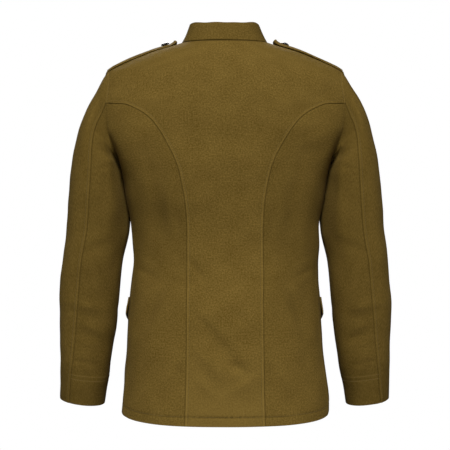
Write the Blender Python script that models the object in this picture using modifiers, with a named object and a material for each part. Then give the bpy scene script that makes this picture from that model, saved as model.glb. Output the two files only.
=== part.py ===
"""Military dress tunic, filled out as worn, in metres. The front faces -Y, the back +Y and the neck is up.

The origin is the middle of the neck at the height of the collar seam, where the wearer's shoulders hold it up.
"""

import math

import bpy
import numpy as np

# Cloth
WALL = 0.0016
COLLAR_WALL = 0.0026
STRAP_WALL = 0.0026
FLAP_WALL = 0.0020
SEAM_GAP = 0.0005
SLEEVE_SEAM_INSET = 0.0006
SHOULDER_SEAM_INSET = 0.0006
BODY_SEAM_INSET = 0.0004
ARMHOLE_GAP = 0.0009
BUTTON_GAP = 0.0002
LAID_GAP = 0.0007
STRAP_GAP = 0.0013

# Hem and front closing
HEM_BACK = -0.7336
HEM_SIDE = -0.7160
HEM_FRONT = -0.7380
HEM_ROUNDING = 1.45
OVERLAP = 0.020
UNDERLAP_BLEND = 0.050

# Armhole, as an egg seen from the side
ARMHOLE_TOP = -0.0605
ARMHOLE_BOTTOM = -0.2245
ARMHOLE_BACK = 0.0600
ARMHOLE_FRONT = 0.0640
ARMHOLE_BACK_FULLNESS = 0.86
ARMHOLE_FRONT_FULLNESS = 1.05
ELBOW_SEAM_START = 78.0
FRONT_SEAM_START = 230.0

# Neck seam, seen from above
NECK_HALF_WIDTH = 0.0845
NECK_BACK = 0.0660
NECK_FRONT = 0.0770

# Collar
COLLAR_TOP_HALF_WIDTH = 0.0672
COLLAR_TOP_BACK = 0.0530
COLLAR_TOP_FRONT = 0.0610
COLLAR_TOP_HEIGHT_BACK = 0.0330
COLLAR_TOP_HEIGHT_FRONT = -0.0350
COLLAR_HOLLOW = 0.0034
COLLAR_END_ROUND = 0.010
COLLAR_END_TURN = 0.3

# Sleeve
CAP_END = -0.262
CUFF_END = -0.7015
CUFF_LEAN_OUT = 0.13
CUFF_LEAN_FORWARD = -0.12
SLEEVE_CLEAR = 0.0022
SLEEVE_ROUND = 2.15

# Shoulder strap
STRAP_HALF_WIDTH = 0.0225
STRAP_OUTER = 0.2305
STRAP_TIP = 0.0930
STRAP_TIP_HALF_WIDTH = 0.0110
STRAP_TIP_LENGTH = 0.016
STRAP_LIFT = 0.0055
STRAP_LIFT_FROM = 0.1095

# Pocket flap
FLAP_TOP = -0.498
FLAP_END_DROP = 0.036
FLAP_POINT_DROP = 0.026
FLAP_WIDTH = 0.165
FLAP_REAR_TURN = 7.0
FLAP_STAND_OFF = 0.0050

# Buttons
BUTTON_RADIUS = 0.0083
BUTTON_HEIGHT = 0.0048
STRAP_BUTTON_ACROSS = 0.1175
FRONT_BUTTON_HEIGHTS = (-0.112, -0.210, -0.308, -0.406, -0.504)

# How finely each piece is divided
ROWS_BELOW_ARM = 16
ROW_CROWDING = 1.3
ROWS_ARMHOLE_BACK = 5
ROWS_ARMHOLE_LOW = 3
ROWS_ARMHOLE_FRONT = 8
ROWS_SHOULDER = 4
COLUMNS_SIDE_BACK = 6
COLUMNS_NECK_QUARTER = 8
ROWS_CAP = 6
ROWS_ARM = 10

# Levels on the centre line that the armhole's rows run to
CENTRE_BY_ARMHOLE = -0.118
EDGE_BY_UNDERARM = -0.300
EDGE_BY_SHOULDER = -0.080
CHEST_CROWDING = 0.8

# Search for the height of the body over a place
UPPER_BODY_START = -0.30
HALVINGS = 40

# Level sections of the body
BODY_COLUMNS = ("height", "half_width", "back_depth", "front_depth", "squareness")
BODY_ROWS = (
    (-0.750, 0.2038, 0.1390, 0.1360, 2.30),
    (-0.710, 0.2028, 0.1370, 0.1345, 2.30),
    (-0.663, 0.1987, 0.1335, 0.1320, 2.30),
    (-0.601, 0.1933, 0.1285, 0.1285, 2.28),
    (-0.538, 0.1878, 0.1225, 0.1250, 2.25),
    (-0.492, 0.1827, 0.1160, 0.1220, 2.22),
    (-0.460, 0.1797, 0.1100, 0.1200, 2.20),
    (-0.429, 0.1787, 0.1060, 0.1190, 2.20),
    (-0.398, 0.1802, 0.1050, 0.1195, 2.20),
    (-0.351, 0.1840, 0.1080, 0.1225, 2.22),
    (-0.308, 0.1925, 0.1145, 0.1265, 2.26),
    (-0.260, 0.2000, 0.1205, 0.1290, 2.30),
    (-0.224, 0.2075, 0.1235, 0.1275, 2.30),
    (-0.170, 0.2450, 0.1240, 0.1185, 2.25),
    (-0.120, 0.2560, 0.1190, 0.1010, 2.20),
    (-0.085, 0.2455, 0.1105, 0.0850, 2.12),
    (-0.0605, 0.2300, 0.1010, 0.0710, 2.06),
    (-0.0465, 0.2050, 0.0945, 0.0655, 2.03),
    (-0.0315, 0.1705, 0.0870, 0.0590, 2.01),
    (-0.0198, 0.1400, 0.0800, 0.0550, 2.00),
    (-0.0112, 0.1110, 0.0728, 0.0522, 2.00),
    (-0.003, 0.0845, 0.0660, 0.0500, 2.00),
    (0.006, 0.0550, 0.0600, 0.0480, 2.00),
)

# Back seam that curves into the armhole, from the hem up
PRINCESS_COLUMNS = ("across", "height")
PRINCESS_ROWS = (
    (0.0760, -0.7330),
    (0.0736, -0.6200),
    (0.0724, -0.5000),
    (0.0724, -0.3700),
    (0.0748, -0.3230),
    (0.0808, -0.2840),
    (0.0867, -0.2553),
    (0.0970, -0.2267),
    (0.1090, -0.2037),
    (0.1260, -0.1750),
    (0.1460, -0.1520),
    (0.1700, -0.1366),
    (0.1950, -0.1275),
)

# Side seam, as the turn back from the widest line
SIDE_COLUMNS = ("height", "turn")
SIDE_ROWS = (
    (-0.740, 15.0),
    (-0.500, 15.0),
    (-0.400, 12.0),
    (-0.300, 6.0),
    (-0.2245, 0.0),
)

# Level sections of the sleeve
SLEEVE_COLUMNS = ("height", "outer", "inner", "middle", "half_depth")
SLEEVE_ROWS = (
    (-0.720, 0.3250, 0.2390, -0.0300, 0.0465),
    (-0.679, 0.3250, 0.2318, -0.0270, 0.0475),
    (-0.648, 0.3256, 0.2262, -0.0235, 0.0490),
    (-0.601, 0.3240, 0.2198, -0.0175, 0.0515),
    (-0.538, 0.3232, 0.2112, -0.0095, 0.0560),
    (-0.492, 0.3224, 0.2061, -0.0035, 0.0595),
    (-0.429, 0.3182, 0.1999, 0.0025, 0.0630),
    (-0.367, 0.3110, 0.1894, 0.0045, 0.0660),
    (-0.320, 0.3070, 0.1845, 0.0045, 0.0675),
    (-0.262, 0.3000, 0.1880, 0.0035, 0.0690),
)

# Seams between the two pieces of the sleeve, as turns from the outer line
SLEEVE_SEAM_COLUMNS = ("height", "elbow_turn", "front_turn")
SLEEVE_SEAM_ROWS = (
    (-0.715, 59.0, 238.0),
    (-0.600, 65.5, 237.0),
    (-0.510, 71.0, 236.0),
    (-0.429, 75.0, 235.0),
    (-0.340, 78.0, 232.0),
    (-0.262, 78.0, 230.0),
)

# Which way the sleeve leaves the armhole, and how strongly it comes into line with the arm
CAP_HOLD = 1.45
CAP_COLUMNS = ("turn", "out", "back", "down", "follow", "pull")
CAP_ROWS = (
    (0.0, 0.530, 0.00, -0.850, 0.10, 1.25),
    (45.0, 0.560, 0.12, -0.810, 0.15, 1.05),
    (90.0, 0.500, 0.10, -0.850, 0.15, 0.90),
    (135.0, 0.700, 0.08, -0.700, 0.05, 0.90),
    (180.0, 0.900, 0.00, -0.430, 0.00, 1.00),
)

# Folds of the body: place, direction, size and depth. Side is 1 on the back and -1 on the front
BODY_FOLD_COLUMNS = ("side", "across", "height", "lean", "half_length", "half_width", "depth", "both")
BODY_FOLD_ROWS = (
    (1, 0.1270, -0.3200, 88.0, 0.045, 0.013, 0.0040, 1),
    (1, 0.1060, -0.3180, 90.0, 0.050, 0.013, -0.0018, 1),
    (1, 0.1100, -0.4980, -56.0, 0.060, 0.015, -0.0035, 1),
    (1, 0.1400, -0.5280, -66.0, 0.046, 0.014, 0.0040, 1),
    (1, 0.0100, -0.5880, 44.0, 0.055, 0.014, 0.0022, 0),
    (-1, 0.1200, -0.4300, 62.0, 0.055, 0.015, 0.0036, 1),
    (-1, 0.1320, -0.5950, -70.0, 0.055, 0.016, 0.0030, 1),
    (-1, 0.0900, -0.3150, 34.0, 0.050, 0.015, 0.0028, 1),
)

# Folds of the sleeve: turn from the outer line, height and lean of the fold
SLEEVE_FOLD_COLUMNS = ("turn", "height", "lean", "half_length", "half_width", "depth")
SLEEVE_FOLD_ROWS = (
    (66.0, -0.5070, 4.0, 0.030, 0.010, -0.0022),
    (72.0, -0.5240, -4.0, 0.036, 0.010, 0.0032),
    (84.0, -0.6120, 10.0, 0.026, 0.012, 0.0026),
    (262.0, -0.4520, 12.0, 0.042, 0.013, 0.0038),
    (270.0, -0.4880, -9.0, 0.038, 0.012, 0.0030),
    (98.0, -0.4000, 20.0, 0.032, 0.013, 0.0022),
)

KHAKI = (0.123, 0.077, 0.019)
KHAKI_DARK = (0.105, 0.065, 0.016)
BUTTON_DARK = (0.012, 0.012, 0.015)
CLOTH_ROUGHNESS = 0.9
BUTTON_ROUGHNESS = 0.35


def clear_scene():
    for item in list(bpy.data.objects):
        bpy.data.objects.remove(item, do_unlink=True)


def columns_of(names, rows):
    """One array per named column of a table."""
    return dict(zip(names, np.array(rows, dtype=float).T))


BODY = columns_of(BODY_COLUMNS, BODY_ROWS)
PRINCESS = columns_of(PRINCESS_COLUMNS, PRINCESS_ROWS)
SIDE = columns_of(SIDE_COLUMNS, SIDE_ROWS)
SLEEVE = columns_of(SLEEVE_COLUMNS, SLEEVE_ROWS)
SLEEVE_SEAM = columns_of(SLEEVE_SEAM_COLUMNS, SLEEVE_SEAM_ROWS)
CAP = columns_of(CAP_COLUMNS, CAP_ROWS)
BODY_FOLD = columns_of(BODY_FOLD_COLUMNS, BODY_FOLD_ROWS)
SLEEVE_FOLD = columns_of(SLEEVE_FOLD_COLUMNS, SLEEVE_FOLD_ROWS)


def smooth(knots, values, at):
    """A curve through the values that never overshoots them: cubic pieces with limited slopes at the knots."""
    step = np.diff(knots)
    rise = np.diff(values) / step
    slope = np.zeros(len(values))
    slope[0] = rise[0]
    slope[-1] = rise[-1]
    before = rise[:-1]
    after = rise[1:]
    turning = before * after <= 0
    safe_before = np.where(turning, 1.0, before)
    safe_after = np.where(turning, 1.0, after)
    weight_before = 2 * step[1:] + step[:-1]
    weight_after = step[1:] + 2 * step[:-1]
    mean = (weight_before + weight_after) / (weight_before / safe_before + weight_after / safe_after)
    slope[1:-1] = np.where(turning, 0.0, mean)
    at = np.clip(np.asarray(at, dtype=float), knots[0], knots[-1])
    piece = np.clip(np.searchsorted(knots, at, side="right") - 1, 0, len(step) - 1)
    t = (at - knots[piece]) / step[piece]
    start = values[piece] * (1 + 2 * t) * (1 - t) ** 2 + slope[piece] * step[piece] * t * (1 - t) ** 2
    end = values[piece + 1] * t ** 2 * (3 - 2 * t) + slope[piece + 1] * step[piece] * t ** 2 * (t - 1)
    return start + end


def ease(t):
    """Rises from 0 to 1 with level ends."""
    t = np.clip(t, 0.0, 1.0)
    return t * t * (3 - 2 * t)


def power(value, exponent):
    """Signed power."""
    return np.sign(value) * np.abs(value) ** exponent


def unit(vectors):
    return vectors / np.maximum(np.linalg.norm(vectors, axis=-1, keepdims=True), 1e-12)


def body_sizes(height, back):
    """Half width, depth and squareness of the level section at this height, on the back or on the front."""
    wide = smooth(BODY["height"], BODY["half_width"], height)
    deep_back = smooth(BODY["height"], BODY["back_depth"], height)
    deep_front = smooth(BODY["height"], BODY["front_depth"], height)
    square = smooth(BODY["height"], BODY["squareness"], height)
    return wide, np.where(back, deep_back, deep_front), square


def plain_body(turn, height):
    """The body before folds: a rounded level section. Turn is 0 at the side and 90 at the centre back."""
    angle = np.radians(turn)
    wide, deep, square = body_sizes(height, np.sin(angle) >= 0)
    across = wide * power(np.cos(angle), 2 / square)
    along = deep * power(np.sin(angle), 2 / square)
    return np.stack([across, along, height + 0 * angle], axis=-1)


def slopes(surface, first, second, first_step, second_step):
    """The two tangents of a surface at these places, from points either side."""
    along_first = surface(first + first_step, second) - surface(first - first_step, second)
    along_second = surface(first, second + second_step) - surface(first, second - second_step)
    return along_first, along_second


def body_normal(turn, height):
    """Outward from the body before folds."""
    around, upward = slopes(plain_body, turn, height, 0.5, 0.0015)
    return unit(np.cross(around, upward))


def fold(first, second, row):
    """A soft trough that falls away along its length and its width. First and second run from its middle."""
    lean = math.radians(row["lean"])
    along = (first * math.cos(lean) + second * math.sin(lean)) / row["half_length"]
    beside = (-first * math.sin(lean) + second * math.cos(lean)) / row["half_width"]
    return row["depth"] * np.exp(-along ** 2 - beside ** 2)


def rows_of(table):
    """The rows of a table of named columns, one at a time."""
    for i in range(len(table["depth"])):
        yield {name: values[i] for name, values in table.items()}


def body_fold_depth(points, turn):
    """How far the folds press the body in, from where each point is seen from behind or from the front."""
    facing = np.sin(np.radians(turn))
    total = 0.0
    for row in rows_of(BODY_FOLD):
        shown = ease(row["side"] * facing * 2.0)
        for mirror in (1, -1) if row["both"] else (1,):
            first = mirror * points[..., 0] - row["across"]
            total = total + fold(first, points[..., 2] - row["height"], row) * shown
    return total


def body(turn, height, out=0.0):
    """A point on the body's outer face, moved out by this much."""
    turn = np.asarray(turn, dtype=float)
    height = np.asarray(height, dtype=float)
    points = plain_body(turn, height)
    depth = body_fold_depth(points, turn)
    return points + body_normal(turn, height) * (out - depth)[..., None]


def turn_at(across, height, back):
    """The turn at which the level section at this height reaches this far across."""
    wide, _, square = body_sizes(height, back)
    ratio = np.clip(across / wide, -1.0, 1.0)
    turn = np.degrees(np.arccos(power(ratio, square / 2)))
    return turn if back else -turn


def height_at(across, along):
    """The height at which the body's upper part stands over this place, by halving the range."""
    low = np.full(np.shape(across), UPPER_BODY_START)
    high = np.full(np.shape(across), BODY["height"][-1])
    for halving in range(HALVINGS):
        middle = (low + high) / 2
        wide, deep, square = body_sizes(middle, along >= 0)
        inside = np.abs(across / wide) ** square + np.abs(along / deep) ** square < 1
        low = np.where(inside, middle, low)
        high = np.where(inside, high, middle)
    return (low + high) / 2


def turn_over(across, along, height):
    """The turn of the body at a place over it."""
    wide, deep, square = body_sizes(height, along >= 0)
    cosine = power(across / wide, square / 2)
    sine = power(along / deep, square / 2)
    return np.degrees(np.arctan2(sine, cosine))


def hem_height(turn):
    """Height of the hem round the body."""
    facing = np.sin(np.radians(turn))
    low = np.where(facing >= 0, HEM_BACK, HEM_FRONT)
    return HEM_SIDE + (low - HEM_SIDE) * (1 - (1 - np.abs(facing)) ** HEM_ROUNDING)


def armhole(turn):
    """Turn and height on the body of the armhole seam. Turn runs from the shoulder, back and under the arm."""
    angle = np.radians(turn)
    middle = (ARMHOLE_TOP + ARMHOLE_BOTTOM) / 2
    height = middle + (ARMHOLE_TOP - middle) * np.cos(angle)
    sine = np.sin(angle)
    back = ARMHOLE_BACK * np.abs(sine) ** ARMHOLE_BACK_FULLNESS
    front = -ARMHOLE_FRONT * np.abs(sine) ** ARMHOLE_FRONT_FULLNESS
    along = np.where(sine >= 0, back, front)
    _, deep, square = body_sizes(height, along >= 0)
    body_turn = np.degrees(np.arcsin(power(along / deep, square / 2)))
    return np.stack([body_turn, height], axis=-1)


def even_curve(points):
    """Fractions of the length at the points of a curve given as a table."""
    lengths = np.linalg.norm(np.diff(points, axis=0), axis=1)
    return np.concatenate([[0.0], np.cumsum(lengths)]) / lengths.sum()


def princess(run):
    """Turn and height of the back seam, from the hem to the armhole."""
    end_turn, end_height = armhole(ELBOW_SEAM_START)
    end_across = plain_body(end_turn, end_height)[0]
    across = np.append(PRINCESS["across"], end_across)
    height = np.append(PRINCESS["height"], end_height)
    share = even_curve(np.stack([across, height], axis=-1))
    at_across = smooth(share, across, run)
    at_height = smooth(share, height, run)
    return np.stack([turn_at(at_across, at_height, True), at_height], axis=-1)


def side_seam(run):
    """Turn and height of the side seam, from the hem to the bottom of the armhole."""
    low = hem_height(SIDE["turn"][0])
    height = low + (ARMHOLE_BOTTOM - low) * np.asarray(run)
    return np.stack([smooth(SIDE["height"], SIDE["turn"], height), height], axis=-1)


def neck(turn):
    """Turn and height of the neck seam. Its turn is seen from above: 0 at the side, 90 at the centre back."""
    angle = np.radians(turn)
    across = NECK_HALF_WIDTH * np.cos(angle)
    along = np.where(np.sin(angle) >= 0, NECK_BACK, NECK_FRONT) * np.sin(angle)
    height = height_at(across, along)
    return np.stack([turn_over(across, along, height), height], axis=-1)


def shoulder_seam(run):
    """Turn and height of the shoulder seam, from the armhole to the neck."""
    neck_height = neck(0.0)[1]
    across_start = smooth(BODY["height"], BODY["half_width"], ARMHOLE_TOP)
    across = across_start + (NECK_HALF_WIDTH - across_start) * np.asarray(run, dtype=float)
    rows = BODY["height"] > ARMHOLE_TOP - 0.03
    height = np.interp(across, BODY["half_width"][rows][::-1], BODY["height"][rows][::-1])
    height = ARMHOLE_TOP + (height - height[0]) * (neck_height - ARMHOLE_TOP) / (height[-1] - height[0])
    return np.stack([0 * height, height], axis=-1)


def patch(inner, outer, low, high):
    """A grid of turns and heights between four edges. Inner and outer run upward, low and high run outward."""
    rows = np.linspace(0.0, 1.0, len(inner))[:, None, None]
    columns = np.linspace(0.0, 1.0, len(low))[None, :, None]
    across = inner[:, None] * (1 - columns) + outer[:, None] * columns
    low_miss = low - (low[:1] * (1 - columns[0]) + low[-1:] * columns[0])
    high_miss = high - (high[:1] * (1 - columns[0]) + high[-1:] * columns[0])
    return across + low_miss * (1 - rows) ** 3 + high_miss * rows ** 3


def drawn_in(points, edge, amount):
    """Moves one edge of a grid into the sheet, square to the edge. Amount is one size or one for each point."""
    grid = np.moveaxis(points, 1, 0) if edge in ("first_column", "last_column") else points
    if edge in ("last_row", "last_column"):
        grid = grid[::-1]
    line = grid[0].copy()
    tangent = unit(np.gradient(line, axis=0))
    inward = grid[1] - line
    inward = unit(inward - (inward * tangent).sum(axis=-1, keepdims=True) * tangent)
    return inward * np.broadcast_to(amount, (len(line),))[:, None]


def inset(points, **amounts):
    """The grid with each named edge drawn in."""
    moved = points.copy()
    for edge, amount in amounts.items():
        shift = drawn_in(points, edge, amount)
        if edge == "first_row":
            moved[0] += shift
        elif edge == "last_row":
            moved[-1] += shift
        elif edge == "first_column":
            moved[:, 0] += shift
        else:
            moved[:, -1] += shift
    return moved


def armhole_loop(turn):
    """Points of the armhole seam."""
    spot = armhole(turn)
    return body(spot[..., 0], spot[..., 1])


def armhole_frame(turn):
    """Along the armhole seam, outward from the body there, and from the seam into the body's cloth."""
    spot = armhole(turn)
    along = unit(armhole_loop(turn + 1.0) - armhole_loop(turn - 1.0))
    outward = body_normal(spot[..., 0], spot[..., 1])
    return along, outward, unit(np.cross(outward, along))


def cap_direction(turn):
    """Which way, and how strongly, the sleeve leaves the armhole. It partly follows the body's cloth."""
    turn = np.asarray(turn, dtype=float)
    wrapped = (turn + 180.0) % 360.0 - 180.0
    size = np.abs(wrapped)
    out = smooth(CAP["turn"], CAP["out"], size)
    back = smooth(CAP["turn"], CAP["back"], size) * np.sign(wrapped)
    down = smooth(CAP["turn"], CAP["down"], size)
    follow = smooth(CAP["turn"], CAP["follow"], size)[..., None]
    _, _, into_body = armhole_frame(turn)
    way = np.stack([out, back, down], axis=-1) * (1 - follow) - into_body * follow
    return unit(way), smooth(CAP["turn"], CAP["pull"], size)


def armhole_insets(turn):
    """How far each sheet stops short of the armhole seam, so that their inner edges stay a seam's gap apart."""
    turn = np.asarray(turn, dtype=float)
    along, body_out, into_body = armhole_frame(turn)
    way, _ = cap_direction(turn)
    into_sleeve = unit(way - (way * along).sum(axis=-1, keepdims=True) * along)
    sleeve_out = np.cross(into_sleeve, along)
    apart = into_sleeve - into_body
    closing = ((sleeve_out - body_out) * unit(apart)).sum(axis=-1)
    return (ARMHOLE_GAP + WALL * np.maximum(closing, 0.0)) / np.linalg.norm(apart, axis=-1)


def sleeve_ring(turn, height):
    """Level section of the sleeve. Turn is 0 on the outer line and 90 at the back."""
    angle = np.radians(turn)
    outer = smooth(SLEEVE["height"], SLEEVE["outer"], height)
    inner = smooth(SLEEVE["height"], SLEEVE["inner"], height)
    middle = smooth(SLEEVE["height"], SLEEVE["middle"], height)
    deep = smooth(SLEEVE["height"], SLEEVE["half_depth"], height)
    across = (outer + inner) / 2 + (outer - inner) / 2 * power(np.cos(angle), 2 / SLEEVE_ROUND)
    along = middle + deep * power(np.sin(angle), 2 / SLEEVE_ROUND)
    return np.stack([across, along, height + 0 * angle], axis=-1)


def arm_point(turn, run):
    """The sleeve below its cap. Run is 0 at the cap's end and 1 at the cuff, which leans with the forearm."""
    level = CAP_END + (CUFF_END - CAP_END) * run
    ring = sleeve_ring(turn, level)
    middle = (sleeve_ring(turn * 0.0, level) + sleeve_ring(turn * 0.0 + 180.0, level)) / 2
    lean = ease(run)
    drop = CUFF_LEAN_OUT * (ring - middle)[..., 0] + CUFF_LEAN_FORWARD * (ring - middle)[..., 1]
    return sleeve_ring(turn, level + lean * drop)


def cap_point(turn, run):
    """The sleeve from the armhole to the cap's end, as a curve that leaves one and joins the other smoothly."""
    start = armhole_loop(turn)
    end = arm_point(turn, 0.0 * turn)
    end_way = unit(arm_point(turn, 0.0 * turn + 0.02) - end)
    start_way, pull = cap_direction(turn)
    hold = CAP_HOLD + 0.5 * (1 - CAP_HOLD) * (1 - np.cos(np.radians(turn)))
    reach = np.linalg.norm(end - start, axis=-1, keepdims=True)
    t = run[..., None]
    return (
        start * (1 + 2 * t) * (1 - t) ** 2
        + start_way * reach * pull[..., None] * t * (1 - t) ** 2
        + end * t ** 2 * (3 - 2 * t)
        + end_way * reach * hold[..., None] * t ** 2 * (t - 1)
    )


def plain_sleeve(turn, run):
    """The sleeve before folds. Run is 0 at the armhole, 1 at the cap's end and 2 at the cuff."""
    turn, run = np.broadcast_arrays(np.asarray(turn, dtype=float), np.asarray(run, dtype=float))
    cap = cap_point(turn, np.clip(run, 0.0, 1.0))
    arm = arm_point(turn, np.clip(run - 1.0, 0.0, 1.0))
    points = np.where((run < 1.0)[..., None], cap, arm)
    return clear_of_body(points, turn, run)


def clear_of_body(points, turn, run):
    """Moves the side that faces the body out to just clear of it."""
    across, along, height = np.moveaxis(points, -1, 0)
    wide, deep, square = body_sizes(height, along >= 0)
    room = 1 - np.minimum(np.abs(along / deep), 1.0) ** square
    body_across = wide * room ** (1 / square)
    under = ease((90.0 - np.abs(turn % 360.0 - 180.0)) / 25.0)
    clear = SLEEVE_CLEAR * ease(run * 3.0) + SEAM_GAP
    short = (body_across + clear) - across
    soft = 0.5 * (short + np.sqrt(short ** 2 + 0.0012 ** 2))
    moved = points.copy()
    moved[..., 0] += soft * under * ease(run * 8.0)
    return moved


def sleeve(turn, run, out=0.0):
    """A point on the sleeve's outer face with its folds."""
    turn, run = np.broadcast_arrays(np.asarray(turn, dtype=float), np.asarray(run, dtype=float))
    points = plain_sleeve(turn, run)
    around, downward = slopes(plain_sleeve, turn, np.clip(run, 0.01, 1.99), 0.5, 0.008)
    outward = unit(np.cross(downward, around))
    total = 0.0
    size = smooth(SLEEVE["height"], SLEEVE["half_depth"], points[..., 2])
    for row in rows_of(SLEEVE_FOLD):
        gap = (turn - row["turn"] + 180.0) % 360.0 - 180.0
        total = total + fold(np.radians(gap) * size, points[..., 2] - row["height"], row)
    return points + outward * (out - total)[..., None]


def seam_turns(run):
    """Turns of the elbow seam and of the front seam along the sleeve."""
    level = CAP_END + (CUFF_END - CAP_END) * np.clip(run - 1.0, 0.0, 1.0)
    elbow = smooth(SLEEVE_SEAM["height"], SLEEVE_SEAM["elbow_turn"], level)
    front = smooth(SLEEVE_SEAM["height"], SLEEVE_SEAM["front_turn"], level)
    return elbow, front


def material(name, colour, roughness):
    made = bpy.data.materials.new(name)
    made.use_nodes = True
    shader = made.node_tree.nodes["Principled BSDF"]
    shader.inputs["Base Color"].default_value = (*colour, 1.0)
    shader.inputs["Roughness"].default_value = roughness
    made.diffuse_color = (*colour, 1.0)
    return made


def add_object(name, mesh, colour, roughness):
    item = bpy.data.objects.new(name, mesh)
    mesh.materials.append(material(name + "_material", colour, roughness))
    COLLECTION.objects.link(item)
    return item


def grid_faces(rows, columns):
    """The four corners of each cell of a grid of points."""
    index = np.arange(rows * columns).reshape(rows, columns)
    corners = np.stack([index[:-1, :-1], index[:-1, 1:], index[1:, 1:], index[1:, :-1]], axis=-1)
    return corners.reshape(-1, 4)


def sheet(name, points, wall, colour=KHAKI, outward=False, turned=False):
    """A grid of points as a sheet of cloth. The wall goes in from the points, or out from them."""
    faces = grid_faces(points.shape[0], points.shape[1])
    if turned:
        faces = faces[:, ::-1]
    mesh = bpy.data.meshes.new(name)
    mesh.from_pydata(points.reshape(-1, 3).tolist(), [], faces.tolist())
    item = add_object(name, mesh, colour, CLOTH_ROUGHNESS)
    thick = item.modifiers.new("wall", "SOLIDIFY")
    thick.thickness = wall
    thick.offset = 1.0 if outward else -1.0
    thick.use_even_offset = False
    return item


def mirrored(points):
    return points * np.array([-1.0, 1.0, 1.0])


def armhole_turns():
    """Where the armhole is divided: up the back from the elbow seam, under the arm, and up the front."""
    back = np.linspace(ELBOW_SEAM_START, 0.0, ROWS_ARMHOLE_BACK + 1)
    under = np.linspace(ELBOW_SEAM_START, 180.0, COLUMNS_SIDE_BACK + 1)
    low = np.linspace(180.0, FRONT_SEAM_START, ROWS_ARMHOLE_LOW + 1)
    front = np.linspace(FRONT_SEAM_START, 360.0, ROWS_ARMHOLE_FRONT + 1)
    return back, under, np.concatenate([low, front[1:]])


def make_body():
    run = np.linspace(0.0, 1.0, ROWS_BELOW_ARM + 1)
    rise = 1 - (1 - run) ** ROW_CROWDING
    princess_line = princess(rise)
    side_line = side_seam(rise)
    armhole_turns_back, armhole_turns_under, armhole_turns_front = armhole_turns()
    shoulder_line = shoulder_seam(np.linspace(0.0, 1.0, ROWS_SHOULDER + 1))

    outer = np.concatenate([princess_line, armhole(armhole_turns_back)[1:], shoulder_line[1:]])
    neck_turns = np.linspace(90.0, 0.0, COLUMNS_NECK_QUARTER + 1)
    high = neck(neck_turns)
    high[0, 0] = 90.0
    centre_top = high[0, 1]
    share_low = 0.6 * (princess_line[:, 1] - HEM_BACK) / (princess_line[-1, 1] - HEM_BACK) + 0.4 * rise
    centre_low = HEM_BACK + (CENTRE_BY_ARMHOLE - HEM_BACK) * share_low
    rows_high = ROWS_ARMHOLE_BACK + ROWS_SHOULDER
    upward = np.linspace(0.0, 1.0, rows_high + 1)[1:]
    centre_high = CENTRE_BY_ARMHOLE + (centre_top - CENTRE_BY_ARMHOLE) * upward
    centre = np.concatenate([centre_low, centre_high])
    inner = np.stack([0 * centre + 90.0, centre], axis=-1)
    low_turns = np.linspace(90.0, outer[0, 0], COLUMNS_NECK_QUARTER + 1)
    low = np.stack([low_turns, hem_height(low_turns)], axis=-1)
    outer[0, 1] = low[-1, 1]
    inner[0, 1] = low[0, 1]
    spots = patch(inner, outer, low, high)
    insets_back = armhole_insets(armhole_turns_back)
    edge = np.concatenate([
        np.full(ROWS_BELOW_ARM, BODY_SEAM_INSET),
        insets_back[:1],
        insets_back[1:],
        np.full(ROWS_SHOULDER, SHOULDER_SEAM_INSET),
    ])
    half = body(spots[..., 0], spots[..., 1])
    half = inset(half, last_column=edge, last_row=SEAM_GAP / 2)
    back = np.concatenate([mirrored(half)[:, :0:-1], half], axis=1)
    sheet("back", back, WALL, turned=True)

    low_turns = np.linspace(princess_line[0, 0], side_line[0, 0], COLUMNS_SIDE_BACK + 1)
    low = np.stack([low_turns, hem_height(low_turns)], axis=-1)
    princess_line[0, 1] = low[0, 1]
    side_line[0, 1] = low[-1, 1]
    spots = patch(princess_line, side_line, low, armhole(armhole_turns_under))
    points = body(spots[..., 0], spots[..., 1])
    points = inset(
        points,
        first_column=BODY_SEAM_INSET,
        last_column=BODY_SEAM_INSET,
        last_row=armhole_insets(armhole_turns_under),
    )
    sheet("side_back_left", points, WALL, KHAKI_DARK, turned=True)
    sheet("side_back_right", mirrored(points), WALL, KHAKI_DARK)

    outer = np.concatenate([side_line, armhole(armhole_turns_front)[1:], shoulder_line[1:]])
    insets_front = armhole_insets(armhole_turns_front)
    edge = np.concatenate([
        np.full(ROWS_BELOW_ARM, BODY_SEAM_INSET),
        insets_front,
        np.full(ROWS_SHOULDER, SHOULDER_SEAM_INSET),
    ])
    for name, under in (("front_left", False), ("front_right", True)):
        points = front_points(outer, edge, rise, under)
        if under:
            sheet(name, mirrored(points), WALL, turned=True)
        else:
            sheet(name, points, WALL)


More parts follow.
